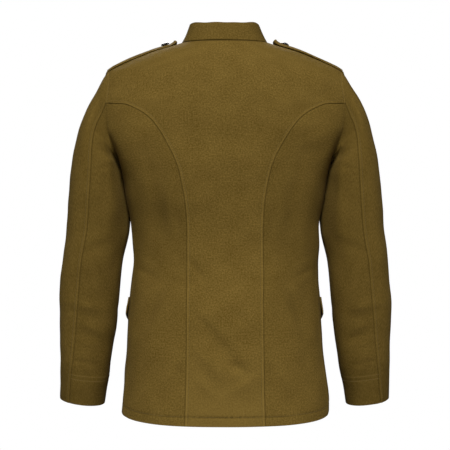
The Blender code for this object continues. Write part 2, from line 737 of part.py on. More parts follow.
def front_points(outer, edge, rise, under):
    """One front as a grid, from its closing edge past the centre to the side seam, armhole and shoulder."""
    last_turn = -np.degrees(np.arccos(-OVERLAP / NECK_HALF_WIDTH))
    neck_turns = np.append(last_turn, np.linspace(-90.0, 0.0, COLUMNS_NECK_QUARTER + 1))
    high = neck(neck_turns)
    top = high[0, 1]
    by_arm = np.linspace(0.0, 1.0, ROWS_ARMHOLE_LOW + ROWS_ARMHOLE_FRONT + 1)[1:] ** CHEST_CROWDING
    by_shoulder = np.linspace(0.0, 1.0, ROWS_SHOULDER + 1)[1:]
    levels_low = HEM_FRONT + (EDGE_BY_UNDERARM - HEM_FRONT) * rise
    levels_arm = EDGE_BY_UNDERARM + (EDGE_BY_SHOULDER - EDGE_BY_UNDERARM) * by_arm
    levels_high = EDGE_BY_SHOULDER + (top - EDGE_BY_SHOULDER) * by_shoulder
    levels = np.concatenate([levels_low, levels_arm, levels_high])
    inner = np.stack([turn_at(-OVERLAP, levels, False), levels], axis=-1)
    inner[-1] = high[0]
    low_turns = np.linspace(inner[0, 0], outer[0, 0], len(neck_turns))
    low = np.stack([low_turns, hem_height(low_turns)], axis=-1)
    inner[0, 1] = low[0, 1]
    spots = patch(inner, outer, low, high)
    points = body(spots[..., 0], spots[..., 1])
    if under:
        near = ease((UNDERLAP_BLEND - points[..., 0]) / (UNDERLAP_BLEND - OVERLAP * 1.15))
        points = body(spots[..., 0], spots[..., 1], -(WALL + 2 * SEAM_GAP) * near)
    return inset(points, last_column=edge, last_row=SEAM_GAP)


def make_collar():
    turns = np.linspace(-90.0, 270.0, 4 * COLUMNS_NECK_QUARTER + 1)
    turns[0] += COLLAR_END_TURN
    turns[-1] -= COLLAR_END_TURN
    spots = neck(turns)
    base = body(spots[:, 0], spots[:, 1])
    angle = np.radians(turns)
    deep = np.where(np.sin(angle) >= 0, COLLAR_TOP_BACK, COLLAR_TOP_FRONT)
    front = ease(-np.sin(angle))
    height = COLLAR_TOP_HEIGHT_BACK + (COLLAR_TOP_HEIGHT_FRONT - COLLAR_TOP_HEIGHT_BACK) * front ** 0.9
    side = 0.002 * np.cos(angle) ** 2 * (np.sin(angle) > -0.2)
    top = np.stack([COLLAR_TOP_HALF_WIDTH * np.cos(angle), deep * np.sin(angle), height + side], axis=-1)
    end = np.minimum(turns - turns[0], turns[-1] - turns)
    top[:, 2] -= COLLAR_END_ROUND * (1 - ease(end / 9.0))
    t = np.linspace(0.0, 1.0, 5)[:, None, None]
    line = base[None] * (1 - t) + top[None] * t
    inward = unit(np.array([1.0, 1.0, 0.0]) * (top - base))[None]
    line = line + inward * COLLAR_HOLLOW * (4 * t * (1 - t) * (1 - t * 0.5))
    line = inset(line, first_row=SEAM_GAP * 1.6)
    sheet("collar", line, COLLAR_WALL, KHAKI_DARK)


def strap_points(across, along, out):
    """Points lying over the shoulder at these places, moved out."""
    height = height_at(across, along)
    turn = turn_over(across, along, height)
    return body(turn, height, out)


def make_straps():
    run = np.linspace(0.0, 1.0, 13)[:, None]
    side = np.linspace(-1.0, 1.0, 7)[None, :]
    across = STRAP_OUTER + (STRAP_TIP - STRAP_OUTER) * run + 0 * side
    taper = np.clip((STRAP_TIP + STRAP_TIP_LENGTH - across) / STRAP_TIP_LENGTH, 0.0, 1.0)
    half_width = STRAP_HALF_WIDTH - (STRAP_HALF_WIDTH - STRAP_TIP_HALF_WIDTH) * taper ** 2
    lift = STRAP_LIFT * np.clip((STRAP_LIFT_FROM - across) / (STRAP_LIFT_FROM - STRAP_TIP), 0.0, 1.0) ** 2
    points = strap_points(across, half_width * side, STRAP_GAP)
    points[..., 2] += lift
    sheet("shoulder_strap_left", points, STRAP_WALL, outward=True)
    sheet("shoulder_strap_right", mirrored(points), STRAP_WALL, outward=True, turned=True)


def make_flaps():
    run = np.linspace(0.0, 1.0, 11)
    turns = FLAP_REAR_TURN - np.linspace(0.0, 90.0, 400)
    line = plain_body(turns, np.full(400, FLAP_TOP))
    lengths = np.concatenate([[0.0], np.cumsum(np.linalg.norm(np.diff(line, axis=0), axis=1))])
    flap_turns = np.interp(run * FLAP_WIDTH, lengths, turns)[None, :]
    fall = np.linspace(0.0, 1.0, 6)[:, None]
    drop = FLAP_END_DROP + FLAP_POINT_DROP * np.sin(np.pi * run)[None, :] ** 1.5
    height = FLAP_TOP - drop * fall
    out = LAID_GAP + FLAP_STAND_OFF * ease(fall) * (1.0 - 0.45 * np.sin(np.pi * run)[None, :])
    points = body(flap_turns + 0 * height, height, out)
    sheet("pocket_flap_left", points, FLAP_WALL, outward=True)
    sheet("pocket_flap_right", mirrored(points), FLAP_WALL, outward=True, turned=True)


def make_sleeves():
    run = np.concatenate([np.linspace(0.0, 1.0, ROWS_CAP + 1), np.linspace(1.0, 2.0, ROWS_ARM + 1)[1:]])
    elbow, front = seam_turns(run)
    back_turns, under_turns, front_turns = armhole_turns()
    under_starts = np.concatenate([under_turns, front_turns[1:ROWS_ARMHOLE_LOW + 1]])
    upper_starts = np.concatenate([front_turns[ROWS_ARMHOLE_LOW:] - 360.0, back_turns[-2::-1]])
    for name, first, last, starts, colour in (
        ("sleeve_upper", front - 360.0, elbow, upper_starts, KHAKI),
        ("sleeve_under", elbow, front, under_starts, KHAKI_DARK),
    ):
        share = (starts - starts[0]) / (starts[-1] - starts[0])
        turns = first[:, None] * (1 - share) + last[:, None] * share
        points = sleeve(turns, run[:, None] + 0 * turns)
        points = inset(
            points,
            first_row=armhole_insets(starts),
            first_column=SLEEVE_SEAM_INSET,
            last_column=SLEEVE_SEAM_INSET,
        )
        sheet(name + "_left", points, WALL, colour, turned=True)
        sheet(name + "_right", mirrored(points), WALL, colour)


def make_button(name, place, outward):
    """A domed button with a rim, turned round its middle, standing just off the cloth."""
    profile = (
        (0.0, 0.0),
        (0.80, 0.0),
        (1.0, 0.25),
        (1.0, 0.45),
        (0.90, 0.58),
        (0.80, 0.62),
        (0.55, 0.88),
        (0.0, 1.0),
    )
    mesh = bpy.data.meshes.new(name)
    points = [(radius * BUTTON_RADIUS, 0.0, rise * BUTTON_HEIGHT) for radius, rise in profile]
    mesh.from_pydata(points, [(i, i + 1) for i in range(len(points) - 1)], [])
    item = add_object(name, mesh, BUTTON_DARK, BUTTON_ROUGHNESS)
    turned = item.modifiers.new("turned", "SCREW")
    turned.axis = "Z"
    turned.steps = 20
    turned.render_steps = 20
    turned.use_merge_vertices = True
    turned.merge_threshold = 0.00005
    turned.use_normal_calculate = True
    outward = unit(np.asarray(outward))
    sideways = unit(np.cross(np.array([0.0, 0.0, 1.0]) + 1e-6, outward))
    upward = np.cross(outward, sideways)
    matrix = item.matrix_world.copy()
    for row in range(3):
        matrix[row][0] = sideways[row]
        matrix[row][1] = upward[row]
        matrix[row][2] = outward[row]
        matrix[row][3] = place[row]
    item.matrix_world = matrix
    return item


def make_buttons():
    for number, height in enumerate(FRONT_BUTTON_HEIGHTS, start=1):
        level = np.array(height)
        spot = np.array(-90.0)
        make_button(f"front_button_{number}", body(spot, level, BUTTON_GAP), body_normal(spot, level))
    across = np.array([STRAP_BUTTON_ACROSS - 0.002, STRAP_BUTTON_ACROSS + 0.002])
    ends = strap_points(across, 0 * across, STRAP_GAP + STRAP_WALL + 2 * BUTTON_GAP)
    place = ends.mean(axis=0)
    outward = np.cross(ends[0] - ends[1], np.array([0.0, 1.0, 0.0]))
    outward = outward * np.sign(outward[2])
    for name, side in (("strap_button_left", 1.0), ("strap_button_right", -1.0)):
        turn = np.array([side, 1.0, 1.0])
        make_button(name, place * turn, outward * turn)


clear_scene()
COLLECTION = bpy.data.collections.new("military_dress_tunic")
bpy.context.scene.collection.children.link(COLLECTION)
make_body()
make_collar()
make_straps()
make_flaps()
make_sleeves()
make_buttons()
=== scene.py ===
import math

import bpy
import numpy as np
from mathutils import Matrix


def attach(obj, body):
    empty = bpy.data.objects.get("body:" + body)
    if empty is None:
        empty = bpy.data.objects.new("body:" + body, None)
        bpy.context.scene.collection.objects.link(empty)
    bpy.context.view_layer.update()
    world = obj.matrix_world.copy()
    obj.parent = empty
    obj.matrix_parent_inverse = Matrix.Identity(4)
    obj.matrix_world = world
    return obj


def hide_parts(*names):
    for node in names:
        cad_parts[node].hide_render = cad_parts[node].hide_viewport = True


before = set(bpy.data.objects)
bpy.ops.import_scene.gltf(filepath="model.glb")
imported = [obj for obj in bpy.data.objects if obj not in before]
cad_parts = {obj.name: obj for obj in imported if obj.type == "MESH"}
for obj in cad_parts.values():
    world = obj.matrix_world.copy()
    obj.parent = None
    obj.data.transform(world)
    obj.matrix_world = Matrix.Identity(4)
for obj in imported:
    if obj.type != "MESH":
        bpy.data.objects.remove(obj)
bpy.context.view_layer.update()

# A military dress tunic, filled out as worn, in metres. The front faces -Y, the back +Y and the neck is up.
# Each panel is a closed sheet of cloth on the same form as its solid, with folds, seams and stitching added.

# The wearer's two sides. The right is drawn on the left and mirrored
SIDES = (("left", 1.0), ("right", -1.0))

# Cloth thickness
WALL = 0.0016
COLLAR_WALL = 0.0026
STRAP_WALL = 0.0026
FLAP_WALL = 0.0020
UNDER_GAP = 0.0026

# Hem and front closing
HEM_BACK = -0.7336
HEM_SIDE = -0.7160
HEM_FRONT = -0.7380
HEM_ROUNDING = 1.45
OVERLAP = 0.020
UNDERLAP_BLEND = 0.050

# Armhole, as an egg seen from the side
ARMHOLE_TOP = -0.0605
ARMHOLE_BOTTOM = -0.2245
ARMHOLE_BACK = 0.0600
ARMHOLE_FRONT = 0.0640
ARMHOLE_BACK_FULLNESS = 0.86
ARMHOLE_FRONT_FULLNESS = 1.05
ELBOW_SEAM_START = 78.0

# Neck seam, seen from above
NECK_HALF_WIDTH = 0.0845
NECK_BACK = 0.0660
NECK_FRONT = 0.0770

# Collar
COLLAR_TOP_HALF_WIDTH = 0.0672
COLLAR_TOP_BACK = 0.0530
COLLAR_TOP_FRONT = 0.0610
COLLAR_TOP_HEIGHT_BACK = 0.0330
COLLAR_TOP_HEIGHT_FRONT = -0.0350
COLLAR_SIDE_DROP = 0.0044
COLLAR_SIDE_RISE = 0.0036
COLLAR_TOP_LOWER = 0.0010
COLLAR_DEPTH = 0.036
COLLAR_HOLLOW = 0.0016
COLLAR_END_ROUND = 0.010
COLLAR_END_TURN = 0.3

# Sleeve
CAP_END = -0.262
CUFF_END = -0.7015
CUFF_LEAN_OUT = 0.13
CUFF_LEAN_FORWARD = -0.12
SLEEVE_CLEAR = -0.0006
SLEEVE_CLEAR_START = 0.0005
SLEEVE_CLEAR_SOFT = 0.0012
SLEEVE_ROUND = 2.15
CAP_HOLD = 1.45

# How far the inner back of the sleeve slides forward under the arm, and how far its front closes in
TUCK_UNDER = 0.036
FRONT_CLOSE = 0.0060
FRONT_CLOSE_TURN = 208.0
FRONT_CLOSE_SPREAD = 34.0
FRONT_CLOSE_HEIGHT = -0.237
FRONT_CLOSE_REACH = 0.030

# How far the sleeve laps the front of the armhole seam, and how many degrees the elbow seam bows there
ARMHOLE_LAP = 0.0010
ELBOW_BOW = 9.0

# Shoulder strap
STRAP_HALF_WIDTH = 0.0225
STRAP_OUTER = 0.2305
STRAP_TIP = 0.0930
STRAP_TIP_HALF_WIDTH = 0.0110
STRAP_TIP_LENGTH = 0.016
STRAP_LIFT = 0.0044
STRAP_LIFT_FROM = 0.1095
STRAP_GAP = 0.0013
STRAP_CROWN = 0.0024
STRAP_BLUNT = 0.0014
STRAP_ROLL = 0.0014
STRAP_SEWN_DOWN = 0.0016

# Pocket flap
FLAP_TOP = -0.498
FLAP_END_DROP = 0.030
FLAP_POINT_DROP = 0.026
FLAP_WIDTH = 0.165
FLAP_MIDDLE_DROP = 0.050
FLAP_REAR_TURN = 7.0
FLAP_STAND_OFF = 0.0026
FLAP_GAP = 0.0007

# Buttons
BUTTON_RADIUS = 0.0083
BUTTON_HEIGHT = 0.0048
BUTTON_GAP = 0.0002
STRAP_BUTTON_ACROSS = 0.1175
STRAP_BUTTON_IN = 0.0030
FRONT_BUTTON_HEIGHTS = (-0.112, -0.210, -0.308, -0.406, -0.504)

# Seams and stitching
GROOVE_DEPTH = 0.0006
GROOVE_WIDTH = 0.0009
WELT_RISE = 0.00055
STITCH_IN = 0.0060
STITCH_PITCH = 0.0033
STRAP_STITCH_PITCH = 0.0029
STRAP_STITCH_IN = 0.0045
STITCH_LENGTH = 0.0026
STITCH_RADIUS = 0.00030
FURROW_DEPTH = 0.00050
FURROW_WIDTH = 0.0010
HEM_STITCH_UP = 0.0178
CUFF_STITCH_LOW = 0.0500
CUFF_STITCH_HIGH = 0.0582
EDGE_ROUND = 0.0008
# Width of the rubbed wear and painted highlight along a turned edge
EDGE_RUB_AND_HIGHLIGHT = 0.0016
WELT_FOOT = 0.0016
WELT_PAST_STITCH = 0.0008
WELT_FALL = 0.0030
# Place and width of the painted highlight along a welt
WELT_HIGHLIGHT_PLACE = 0.0030
WELT_HIGHLIGHT_WIDTH = 0.0018
# Width of the painted shade in a stitched furrow
STITCH_SHADE_WIDTH = 0.0011

# Small tucks that sewing draws up: two wave lengths, and where they lie beside a seam
TUCK_LONG = 0.0131
TUCK_SHORT = 0.0083
TUCK_MIDDLE = 0.004
TUCK_REACH = 0.009
SLEEVE_TUCKS = 0.00020
STRAP_TUCKS = 0.00032
FLAP_TUCKS = 0.00030

# Slow swells of worn cloth: shortest length, how much longer each wave is, and height for its length
SWELL_LENGTH = 0.045
SWELL_GROWTH = 1.27
SWELL_WAVES = 9
SWELL_STEEPNESS = 0.0045
SWELL_SPREAD = 137.5

# How finely each panel is divided: places measured in from a seam, and the spacing elsewhere
EDGE_PLACES = np.array((
    0.0, 0.0003, 0.0007, 0.0012, 0.0018, 0.0026, 0.0036,
    0.0046, 0.0053, 0.0060, 0.0067, 0.0075, 0.0090, 0.0112,
))
ROW_SPACING = 0.0030
ROWS_BELOW_ARM = 16
ROW_CROWDING = 1.3
ROWS_ARMHOLE_BACK = 5
ROWS_ARMHOLE_FRONT = 11
ROWS_SHOULDER = 4
BACK_MIDDLE_ROW = -0.118
FRONT_UNDERARM_ROW = -0.300
FRONT_CHEST_ROW = -0.080
ROWS_SLEEVE = 16
BACK_COLUMNS = 52
SIDE_BACK_COLUMNS = 34
FRONT_COLUMNS = 62
UPPER_COLUMNS = 58
UNDER_COLUMNS = 42
COLLAR_COLUMNS = 420
EDGE_POINTS = 200

# Level sections of the body
BODY_COLUMNS = ("height", "half_width", "back_depth", "front_depth", "squareness")
BODY_ROWS = (
    (-0.750, 0.2038, 0.1390, 0.1360, 2.30),
    (-0.710, 0.2028, 0.1370, 0.1345, 2.30),
    (-0.663, 0.1987, 0.1335, 0.1320, 2.30),
    (-0.601, 0.1933, 0.1285, 0.1285, 2.28),
    (-0.538, 0.1878, 0.1225, 0.1250, 2.25),
    (-0.492, 0.1827, 0.1160, 0.1220, 2.22),
    (-0.460, 0.1797, 0.1100, 0.1200, 2.20),
    (-0.429, 0.1787, 0.1060, 0.1190, 2.20),
    (-0.398, 0.1802, 0.1050, 0.1195, 2.20),
    (-0.351, 0.1840, 0.1080, 0.1225, 2.22),
    (-0.308, 0.1925, 0.1145, 0.1265, 2.26),
    (-0.260, 0.2000, 0.1205, 0.1290, 2.30),
    (-0.224, 0.2075, 0.1235, 0.1275, 2.30),
    (-0.170, 0.2450, 0.1240, 0.1185, 2.25),
    (-0.120, 0.2560, 0.1190, 0.1010, 2.20),
    (-0.085, 0.2455, 0.1105, 0.0850, 2.12),
    (-0.0605, 0.2300, 0.1010, 0.0710, 2.06),
    (-0.0465, 0.2050, 0.0945, 0.0655, 2.03),
    (-0.0315, 0.1705, 0.0870, 0.0590, 2.01),
    (-0.0198, 0.1400, 0.0800, 0.0550, 2.00),
    (-0.0112, 0.1110, 0.0728, 0.0522, 2.00),
    (-0.003, 0.0845, 0.0660, 0.0500, 2.00),
    (0.006, 0.0550, 0.0600, 0.0480, 2.00),
)

# Back seam that curves into the armhole, from the hem up
PRINCESS_COLUMNS = ("across", "height")
PRINCESS_ROWS = (
    (0.0760, -0.7330),
    (0.0736, -0.6200),
    (0.0724, -0.5000),
    (0.0724, -0.3700),
    (0.0748, -0.3230),
    (0.0808, -0.2840),
    (0.0867, -0.2553),
    (0.0970, -0.2267),
    (0.1090, -0.2037),
    (0.1260, -0.1750),
    (0.1460, -0.1520),
    (0.1700, -0.1366),
    (0.1950, -0.1275),
)

# Side seam, as the turn back from the widest line
SIDE_COLUMNS = ("height", "turn")
SIDE_ROWS = (
    (-0.740, 15.0),
    (-0.500, 15.0),
    (-0.400, 12.0),
    (-0.300, 6.0),
    (-0.2245, 0.0),
)

# Level sections of the sleeve
SLEEVE_COLUMNS = ("height", "outer", "inner", "middle", "half_depth")
SLEEVE_ROWS = (
    (-0.720, 0.3250, 0.2390, -0.0345, 0.0465),
    (-0.679, 0.3250, 0.2318, -0.0278, 0.0475),
    (-0.648, 0.3256, 0.2262, -0.0235, 0.0490),
    (-0.601, 0.3240, 0.2198, -0.0175, 0.0515),
    (-0.538, 0.3232, 0.2112, -0.0095, 0.0560),
    (-0.492, 0.3224, 0.2061, -0.0035, 0.0595),
    (-0.429, 0.3182, 0.1999, 0.0025, 0.0630),
    (-0.367, 0.3110, 0.1872, 0.0045, 0.0660),
    (-0.320, 0.3070, 0.1845, 0.0045, 0.0675),
    (-0.262, 0.3000, 0.1880, 0.0035, 0.0690),
)

# Seams between the two pieces of the sleeve, as turns from the outer line
SLEEVE_SEAM_COLUMNS = ("height", "elbow_turn", "front_turn")
SLEEVE_SEAM_ROWS = (
    (-0.715, 60.0, 238.0),
    (-0.600, 68.5, 237.0),
    (-0.510, 74.0, 236.0),
    (-0.429, 76.5, 235.0),
    (-0.340, 78.0, 232.0),
    (-0.262, 78.0, 230.0),
)

# Which way the sleeve leaves the armhole, and how strongly it comes into line with the arm
CAP_COLUMNS = ("turn", "out", "back", "down", "follow", "pull")
CAP_ROWS = (
    (0.0, 0.530, 0.00, -0.850, 0.10, 1.25),
    (45.0, 0.560, 0.12, -0.810, 0.15, 1.05),
    (90.0, 0.500, 0.10, -0.850, 0.60, 0.90),
    (135.0, 0.600, 0.04, -0.780, 0.25, 0.80),
    (180.0, 0.420, 0.00, -0.900, 0.00, 0.60),
)

# Folds of the body: place, direction, size and depth. Side is 1 on the back, -1 on the front. Both mirrors it
BODY_FOLD_COLUMNS = ("side", "across", "height", "lean", "half_length", "half_width", "depth", "both")
BODY_FOLD_ROWS = (
    (1, 0.1270, -0.3200, 88.0, 0.050, 0.017, 0.0036, 1),
    (1, 0.1060, -0.3180, 90.0, 0.050, 0.015, -0.0022, 1),
    (1, 0.1100, -0.4980, -56.0, 0.060, 0.015, -0.0042, 1),
    (1, 0.1400, -0.5280, -66.0, 0.046, 0.014, 0.0048, 1),
    (1, 0.0100, -0.5880, 44.0, 0.055, 0.013, 0.0034, 0),
    (-1, 0.1200, -0.4300, 62.0, 0.055, 0.015, 0.0036, 1),
    (-1, 0.1320, -0.5950, -70.0, 0.055, 0.016, 0.0030, 1),
    (-1, 0.0900, -0.3150, 34.0, 0.050, 0.015, 0.0028, 1),
    # Centre back below the waist
    (1, 0.0560, -0.4400, 50.0, 0.026, 0.007, 0.0018, 0),
    (1, 0.0060, -0.5780, 45.0, 0.045, 0.010, 0.0016, 0),
    (1, -0.0220, -0.6230, 24.0, 0.018, 0.011, 0.0048, 0),
    (1, 0.0330, -0.6120, 47.0, 0.036, 0.012, -0.0028, 0),
    (1, 0.0320, -0.6640, 44.0, 0.030, 0.011, -0.0020, 0),
    (1, -0.0330, -0.6560, -32.0, 0.030, 0.011, -0.0019, 0),
    (1, -0.0340, -0.6440, -36.0, 0.020, 0.007, 0.0012, 0),
    (1, 0.0420, -0.5400, 40.0, 0.024, 0.007, 0.0014, 0),
    (1, -0.0260, -0.5300, 40.0, 0.030, 0.010, 0.0009, 0),
    (1, 0.0360, -0.4850, 24.0, 0.026, 0.008, 0.0007, 0),
    # Side back
    (1, 0.0905, -0.3540, 88.0, 0.024, 0.0060, 0.0016, 1),
    (1, 0.1500, -0.4500, 24.0, 0.022, 0.006, 0.0016, 1),
    (1, 0.1480, -0.4300, 20.0, 0.018, 0.006, -0.0008, 1),
    (1, 0.1050, -0.5400, -52.0, 0.040, 0.008, 0.0014, 1),
    (1, 0.0880, -0.6330, -76.0, 0.016, 0.008, 0.0028, 1),
    (1, 0.1060, -0.6440, -60.0, 0.024, 0.008, -0.0022, 1),
    (1, 0.1920, -0.2220, 84.0, 0.036, 0.028, -0.0110, 1),
    (1, 0.1420, -0.2600, 80.0, 0.034, 0.009, 0.0014, 1),
    (1, 0.1240, -0.6900, -70.0, 0.026, 0.010, 0.0010, 1),
    (1, 0.1620, -0.6500, -82.0, 0.044, 0.012, 0.0014, 1),
    # Upper back
    (1, -0.0080, -0.0480, 0.0, 0.066, 0.018, 0.0034, 0),
    (1, -0.0440, -0.0250, -8.0, 0.018, 0.006, 0.0012, 0),
    (1, 0.1050, -0.0980, -18.0, 0.036, 0.018, 0.0028, 1),
    (1, 0.1750, -0.0900, -30.0, 0.026, 0.014, -0.0016, 1),
    (1, 0.1850, -0.1100, 35.0, 0.034, 0.009, 0.0010, 1),
    (1, 0.1500, -0.1000, -60.0, 0.040, 0.018, 0.0010, 1),
    (1, 0.0300, -0.2000, 70.0, 0.060, 0.025, 0.0008, 0),
    # Front
    (-1, 0.1550, -0.2300, 48.0, 0.040, 0.010, 0.0028, 1),
    (-1, 0.1300, -0.2420, 40.0, 0.038, 0.010, -0.0018, 1),
    (-1, 0.0480, -0.3560, -14.0, 0.030, 0.007, 0.0016, 1),
    (-1, 0.0520, -0.4520, 12.0, 0.034, 0.008, 0.0020, 1),
    (-1, 0.0700, -0.4680, 24.0, 0.038, 0.009, -0.0014, 1),
    (-1, 0.0500, -0.5800, -66.0, 0.050, 0.012, 0.0016, 1),
    (-1, 0.0820, -0.6500, -78.0, 0.048, 0.012, -0.0018, 1),
    (-1, 0.0300, -0.1600, -24.0, 0.024, 0.008, 0.0010, 0),
    (-1, 0.1180, -0.1300, -62.0, 0.034, 0.012, 0.0014, 1),
)

# Folds of the sleeve: turn from the outer line, height and lean of the fold
SLEEVE_FOLD_COLUMNS = ("turn", "height", "lean", "half_length", "half_width", "depth")
SLEEVE_FOLD_ROWS = (
    (90.0, -0.5130, -6.0, 0.022, 0.008, -0.0016),
    (98.0, -0.5330, -16.0, 0.020, 0.009, 0.0013),
    (84.0, -0.6060, 24.0, 0.022, 0.010, -0.0009),
    (262.0, -0.4520, 12.0, 0.042, 0.013, 0.0038),
    (270.0, -0.4880, -9.0, 0.038, 0.012, 0.0030),
    (98.0, -0.4000, 20.0, 0.032, 0.013, 0.0022),
    # Behind the elbow
    (100.0, -0.5540, -26.0, 0.018, 0.006, -0.0011),
    (104.0, -0.5720, -22.0, 0.022, 0.007, 0.0013),
    (92.0, -0.5860, -18.0, 0.014, 0.005, -0.0007),
    (86.0, -0.6220, -12.0, 0.020, 0.005, 0.0012),
    (104.0, -0.6290, 16.0, 0.016, 0.005, 0.0008),
    (56.0, -0.5060, 10.0, 0.016, 0.006, -0.0010),
    (58.0, -0.5240, 24.0, 0.016, 0.006, 0.0009),
    # Under the arm
    (108.0, -0.2160, -24.0, 0.024, 0.010, 0.0046),
    (118.0, -0.2340, -18.0, 0.018, 0.008, -0.0020),
    (96.0, -0.1900, -50.0, 0.022, 0.008, 0.0012),
    (102.0, -0.2480, 14.0, 0.018, 0.007, 0.0012),
    (92.0, -0.2800, 82.0, 0.050, 0.013, -0.0016),
    # Sleeve head
    (74.0, -0.1120, -62.0, 0.024, 0.004, 0.0012),
    (64.0, -0.1060, -66.0, 0.024, 0.004, 0.0009),
    (40.0, -0.1300, -80.0, 0.030, 0.007, 0.0008),
    # Front of the arm
    (240.0, -0.2300, -36.0, 0.030, 0.008, 0.0030),
    (250.0, -0.2620, -30.0, 0.036, 0.009, 0.0024),
    (280.0, -0.4300, 16.0, 0.030, 0.009, -0.0018),
    (256.0, -0.5300, -14.0, 0.030, 0.009, 0.0018),
    (276.0, -0.5900, 8.0, 0.028, 0.009, 0.0014),
    (310.0, -0.3300, -64.0, 0.044, 0.014, 0.0014),
    (200.0, -0.4700, 6.0, 0.034, 0.010, 0.0024),
    (190.0, -0.5200, -8.0, 0.030, 0.009, 0.0020),
    (176.0, -0.4300, 10.0, 0.030, 0.010, -0.0014),
)

# Colours
WOOL = (0.072, 0.042, 0.0050)
# WOOL_FIBRE is the melange's lighter fibre and also the colour of rubbed wear and painted light; WOOL_SHADOW
# is the colour of painted shade
WOOL_FIBRE = (0.205, 0.132, 0.030)
WOOL_SHADOW = (0.0220, 0.0125, 0.0006)
THREAD = (0.170, 0.112, 0.028)
BUTTON = (0.006, 0.007, 0.011)
BUTTON_WORN = (0.024, 0.026, 0.034)
WOOL_ROUGHNESS = 0.92

# Painted shade and painted light down the height of each part, for soft shade and light the lamps leave out:
# shade on the upper back, side back, collar and sleeves, light toward the hem
PAINTED_TONE = {
    "back": (
        # height, shade, light
        (-0.715, 0.0, 0.98),
        (-0.665, 0.0, 0.74),
        (-0.580, 0.0, 0.0),
        (-0.250, 0.0, 0.0),
        (-0.120, 0.12, 0.0),
        (-0.060, 0.12, 0.0),
        (-0.020, 0.0, 0.0),
    ),
    "side_back": (
        (-0.715, 0.0, 0.22),
        (-0.600, 0.0, 0.0),
        (-0.460, 0.20, 0.0),
        (-0.360, 0.36, 0.0),
        (-0.200, 0.0, 0.0),
    ),
    "collar": (
        (-0.030, 0.34, 0.0),
        (0.030, 0.34, 0.0),
    ),
    "sleeve": (
        (-0.690, 0.58, 0.0),
        (-0.640, 0.50, 0.0),
        (-0.610, 0.25, 0.0),
        (-0.500, 0.28, 0.0),
        (-0.360, 0.48, 0.0),
        (-0.250, 0.52, 0.0),
        (-0.160, 0.62, 0.0),
        (-0.060, 0.10, 0.0),
    ),
}


def columns_of(names, rows):
    """One array per named column of a table."""
    return dict(zip(names, np.array(rows, dtype=float).T))


BODY = columns_of(BODY_COLUMNS, BODY_ROWS)
PRINCESS = columns_of(PRINCESS_COLUMNS, PRINCESS_ROWS)
SIDE = columns_of(SIDE_COLUMNS, SIDE_ROWS)
SLEEVE = columns_of(SLEEVE_COLUMNS, SLEEVE_ROWS)
SLEEVE_SEAM = columns_of(SLEEVE_SEAM_COLUMNS, SLEEVE_SEAM_ROWS)
CAP = columns_of(CAP_COLUMNS, CAP_ROWS)
BODY_FOLD = columns_of(BODY_FOLD_COLUMNS, BODY_FOLD_ROWS)
SLEEVE_FOLD = columns_of(SLEEVE_FOLD_COLUMNS, SLEEVE_FOLD_ROWS)


# Curves and level sections


def smooth(knots, values, at):
    """A curve through the values that never overshoots them: cubic pieces with limited slopes."""
    step = np.diff(knots)
    rise = np.diff(values) / step
    slope = np.zeros(len(values))
    slope[0] = rise[0]
    slope[-1] = rise[-1]
    before = rise[:-1]
    after = rise[1:]
    turning = before * after <= 0
    safe_before = np.where(turning, 1.0, before)
    safe_after = np.where(turning, 1.0, after)
    weight_before = 2 * step[1:] + step[:-1]
    weight_after = step[1:] + 2 * step[:-1]
    mean = (weight_before + weight_after) / (weight_before / safe_before + weight_after / safe_after)
    slope[1:-1] = np.where(turning, 0.0, mean)
    at = np.clip(np.asarray(at, dtype=float), knots[0], knots[-1])
    piece = np.clip(np.searchsorted(knots, at, side="right") - 1, 0, len(step) - 1)
    t = (at - knots[piece]) / step[piece]
    start = values[piece] * (1 + 2 * t) * (1 - t) ** 2 + slope[piece] * step[piece] * t * (1 - t) ** 2
    end = values[piece + 1] * t ** 2 * (3 - 2 * t) + slope[piece + 1] * step[piece] * t ** 2 * (t - 1)
    return start + end


def looked_up(table, columns, at):
    """The value of each column after the first, on smooth curves over the first."""
    return [smooth(table[columns[0]], table[key], at) for key in columns[1:]]


def ease(t):
    """Rises from 0 to 1 with level ends: 3t^2 - 2t^3."""
    t = np.clip(t, 0.0, 1.0)
    return t * t * (3 - 2 * t)


def bell(t):
    """1 in the middle, falling away on both sides: exp(-t^2)."""
    return np.exp(-t ** 2)


def power(value, exponent):
    """Signed power."""
    return np.sign(value) * np.abs(value) ** exponent


def unit(vectors):
    return vectors / np.maximum(np.linalg.norm(vectors, axis=-1, keepdims=True), 1e-12)


def body_sizes(height, back):
    """Half width, depth and squareness of the level section at this height, on the back or on the front."""
    wide, deep_back, deep_front, square = looked_up(BODY, BODY_COLUMNS, height)
    return wide, np.where(back, deep_back, deep_front), square


def plain_body(turn, height):
    """Body before folds: width * cos(turn)^(2/s) across, depth * sin(turn)^(2/s) along, s its squareness."""
    angle = np.radians(turn)
    wide, deep, square = body_sizes(height, np.sin(angle) >= 0)
    across = wide * power(np.cos(angle), 2 / square)
    along = deep * power(np.sin(angle), 2 / square)
    return np.stack([across, along, height + 0 * angle], axis=-1)


def slopes(surface, first, second, first_step, second_step):
    """The two tangents of a surface at these places, from points either side."""
    along_first = surface(first + first_step, second) - surface(first - first_step, second)
    along_second = surface(first, second + second_step) - surface(first, second - second_step)
    return along_first, along_second


def body_normal(turn, height):
    """Outward from the body before folds."""
    around, upward = slopes(plain_body, turn, height, 0.5, 0.0015)
    return unit(np.cross(around, upward))


def shifted_tone(part, height, shade, light, held=1.0):
    """Shade and light with the part's painted shade and painted light added: straight lines between the rows
    of heights.
    """
    heights, shades, lights = np.array(PAINTED_TONE[part]).T
    return (
        shade + held * np.interp(height, heights, shades),
        light + held * np.interp(height, heights, lights),
    )


def fold(first, second, lean, half_length, half_width, depth):
    """A soft trough of this depth: exp(-(along/length)^2 - (beside/width)^2), turned by the lean."""
    lean = math.radians(lean)
    along = (first * math.cos(lean) + second * math.sin(lean)) / half_length
    beside = (-first * math.sin(lean) + second * math.cos(lean)) / half_width
    return depth * np.exp(-along ** 2 - beside ** 2)


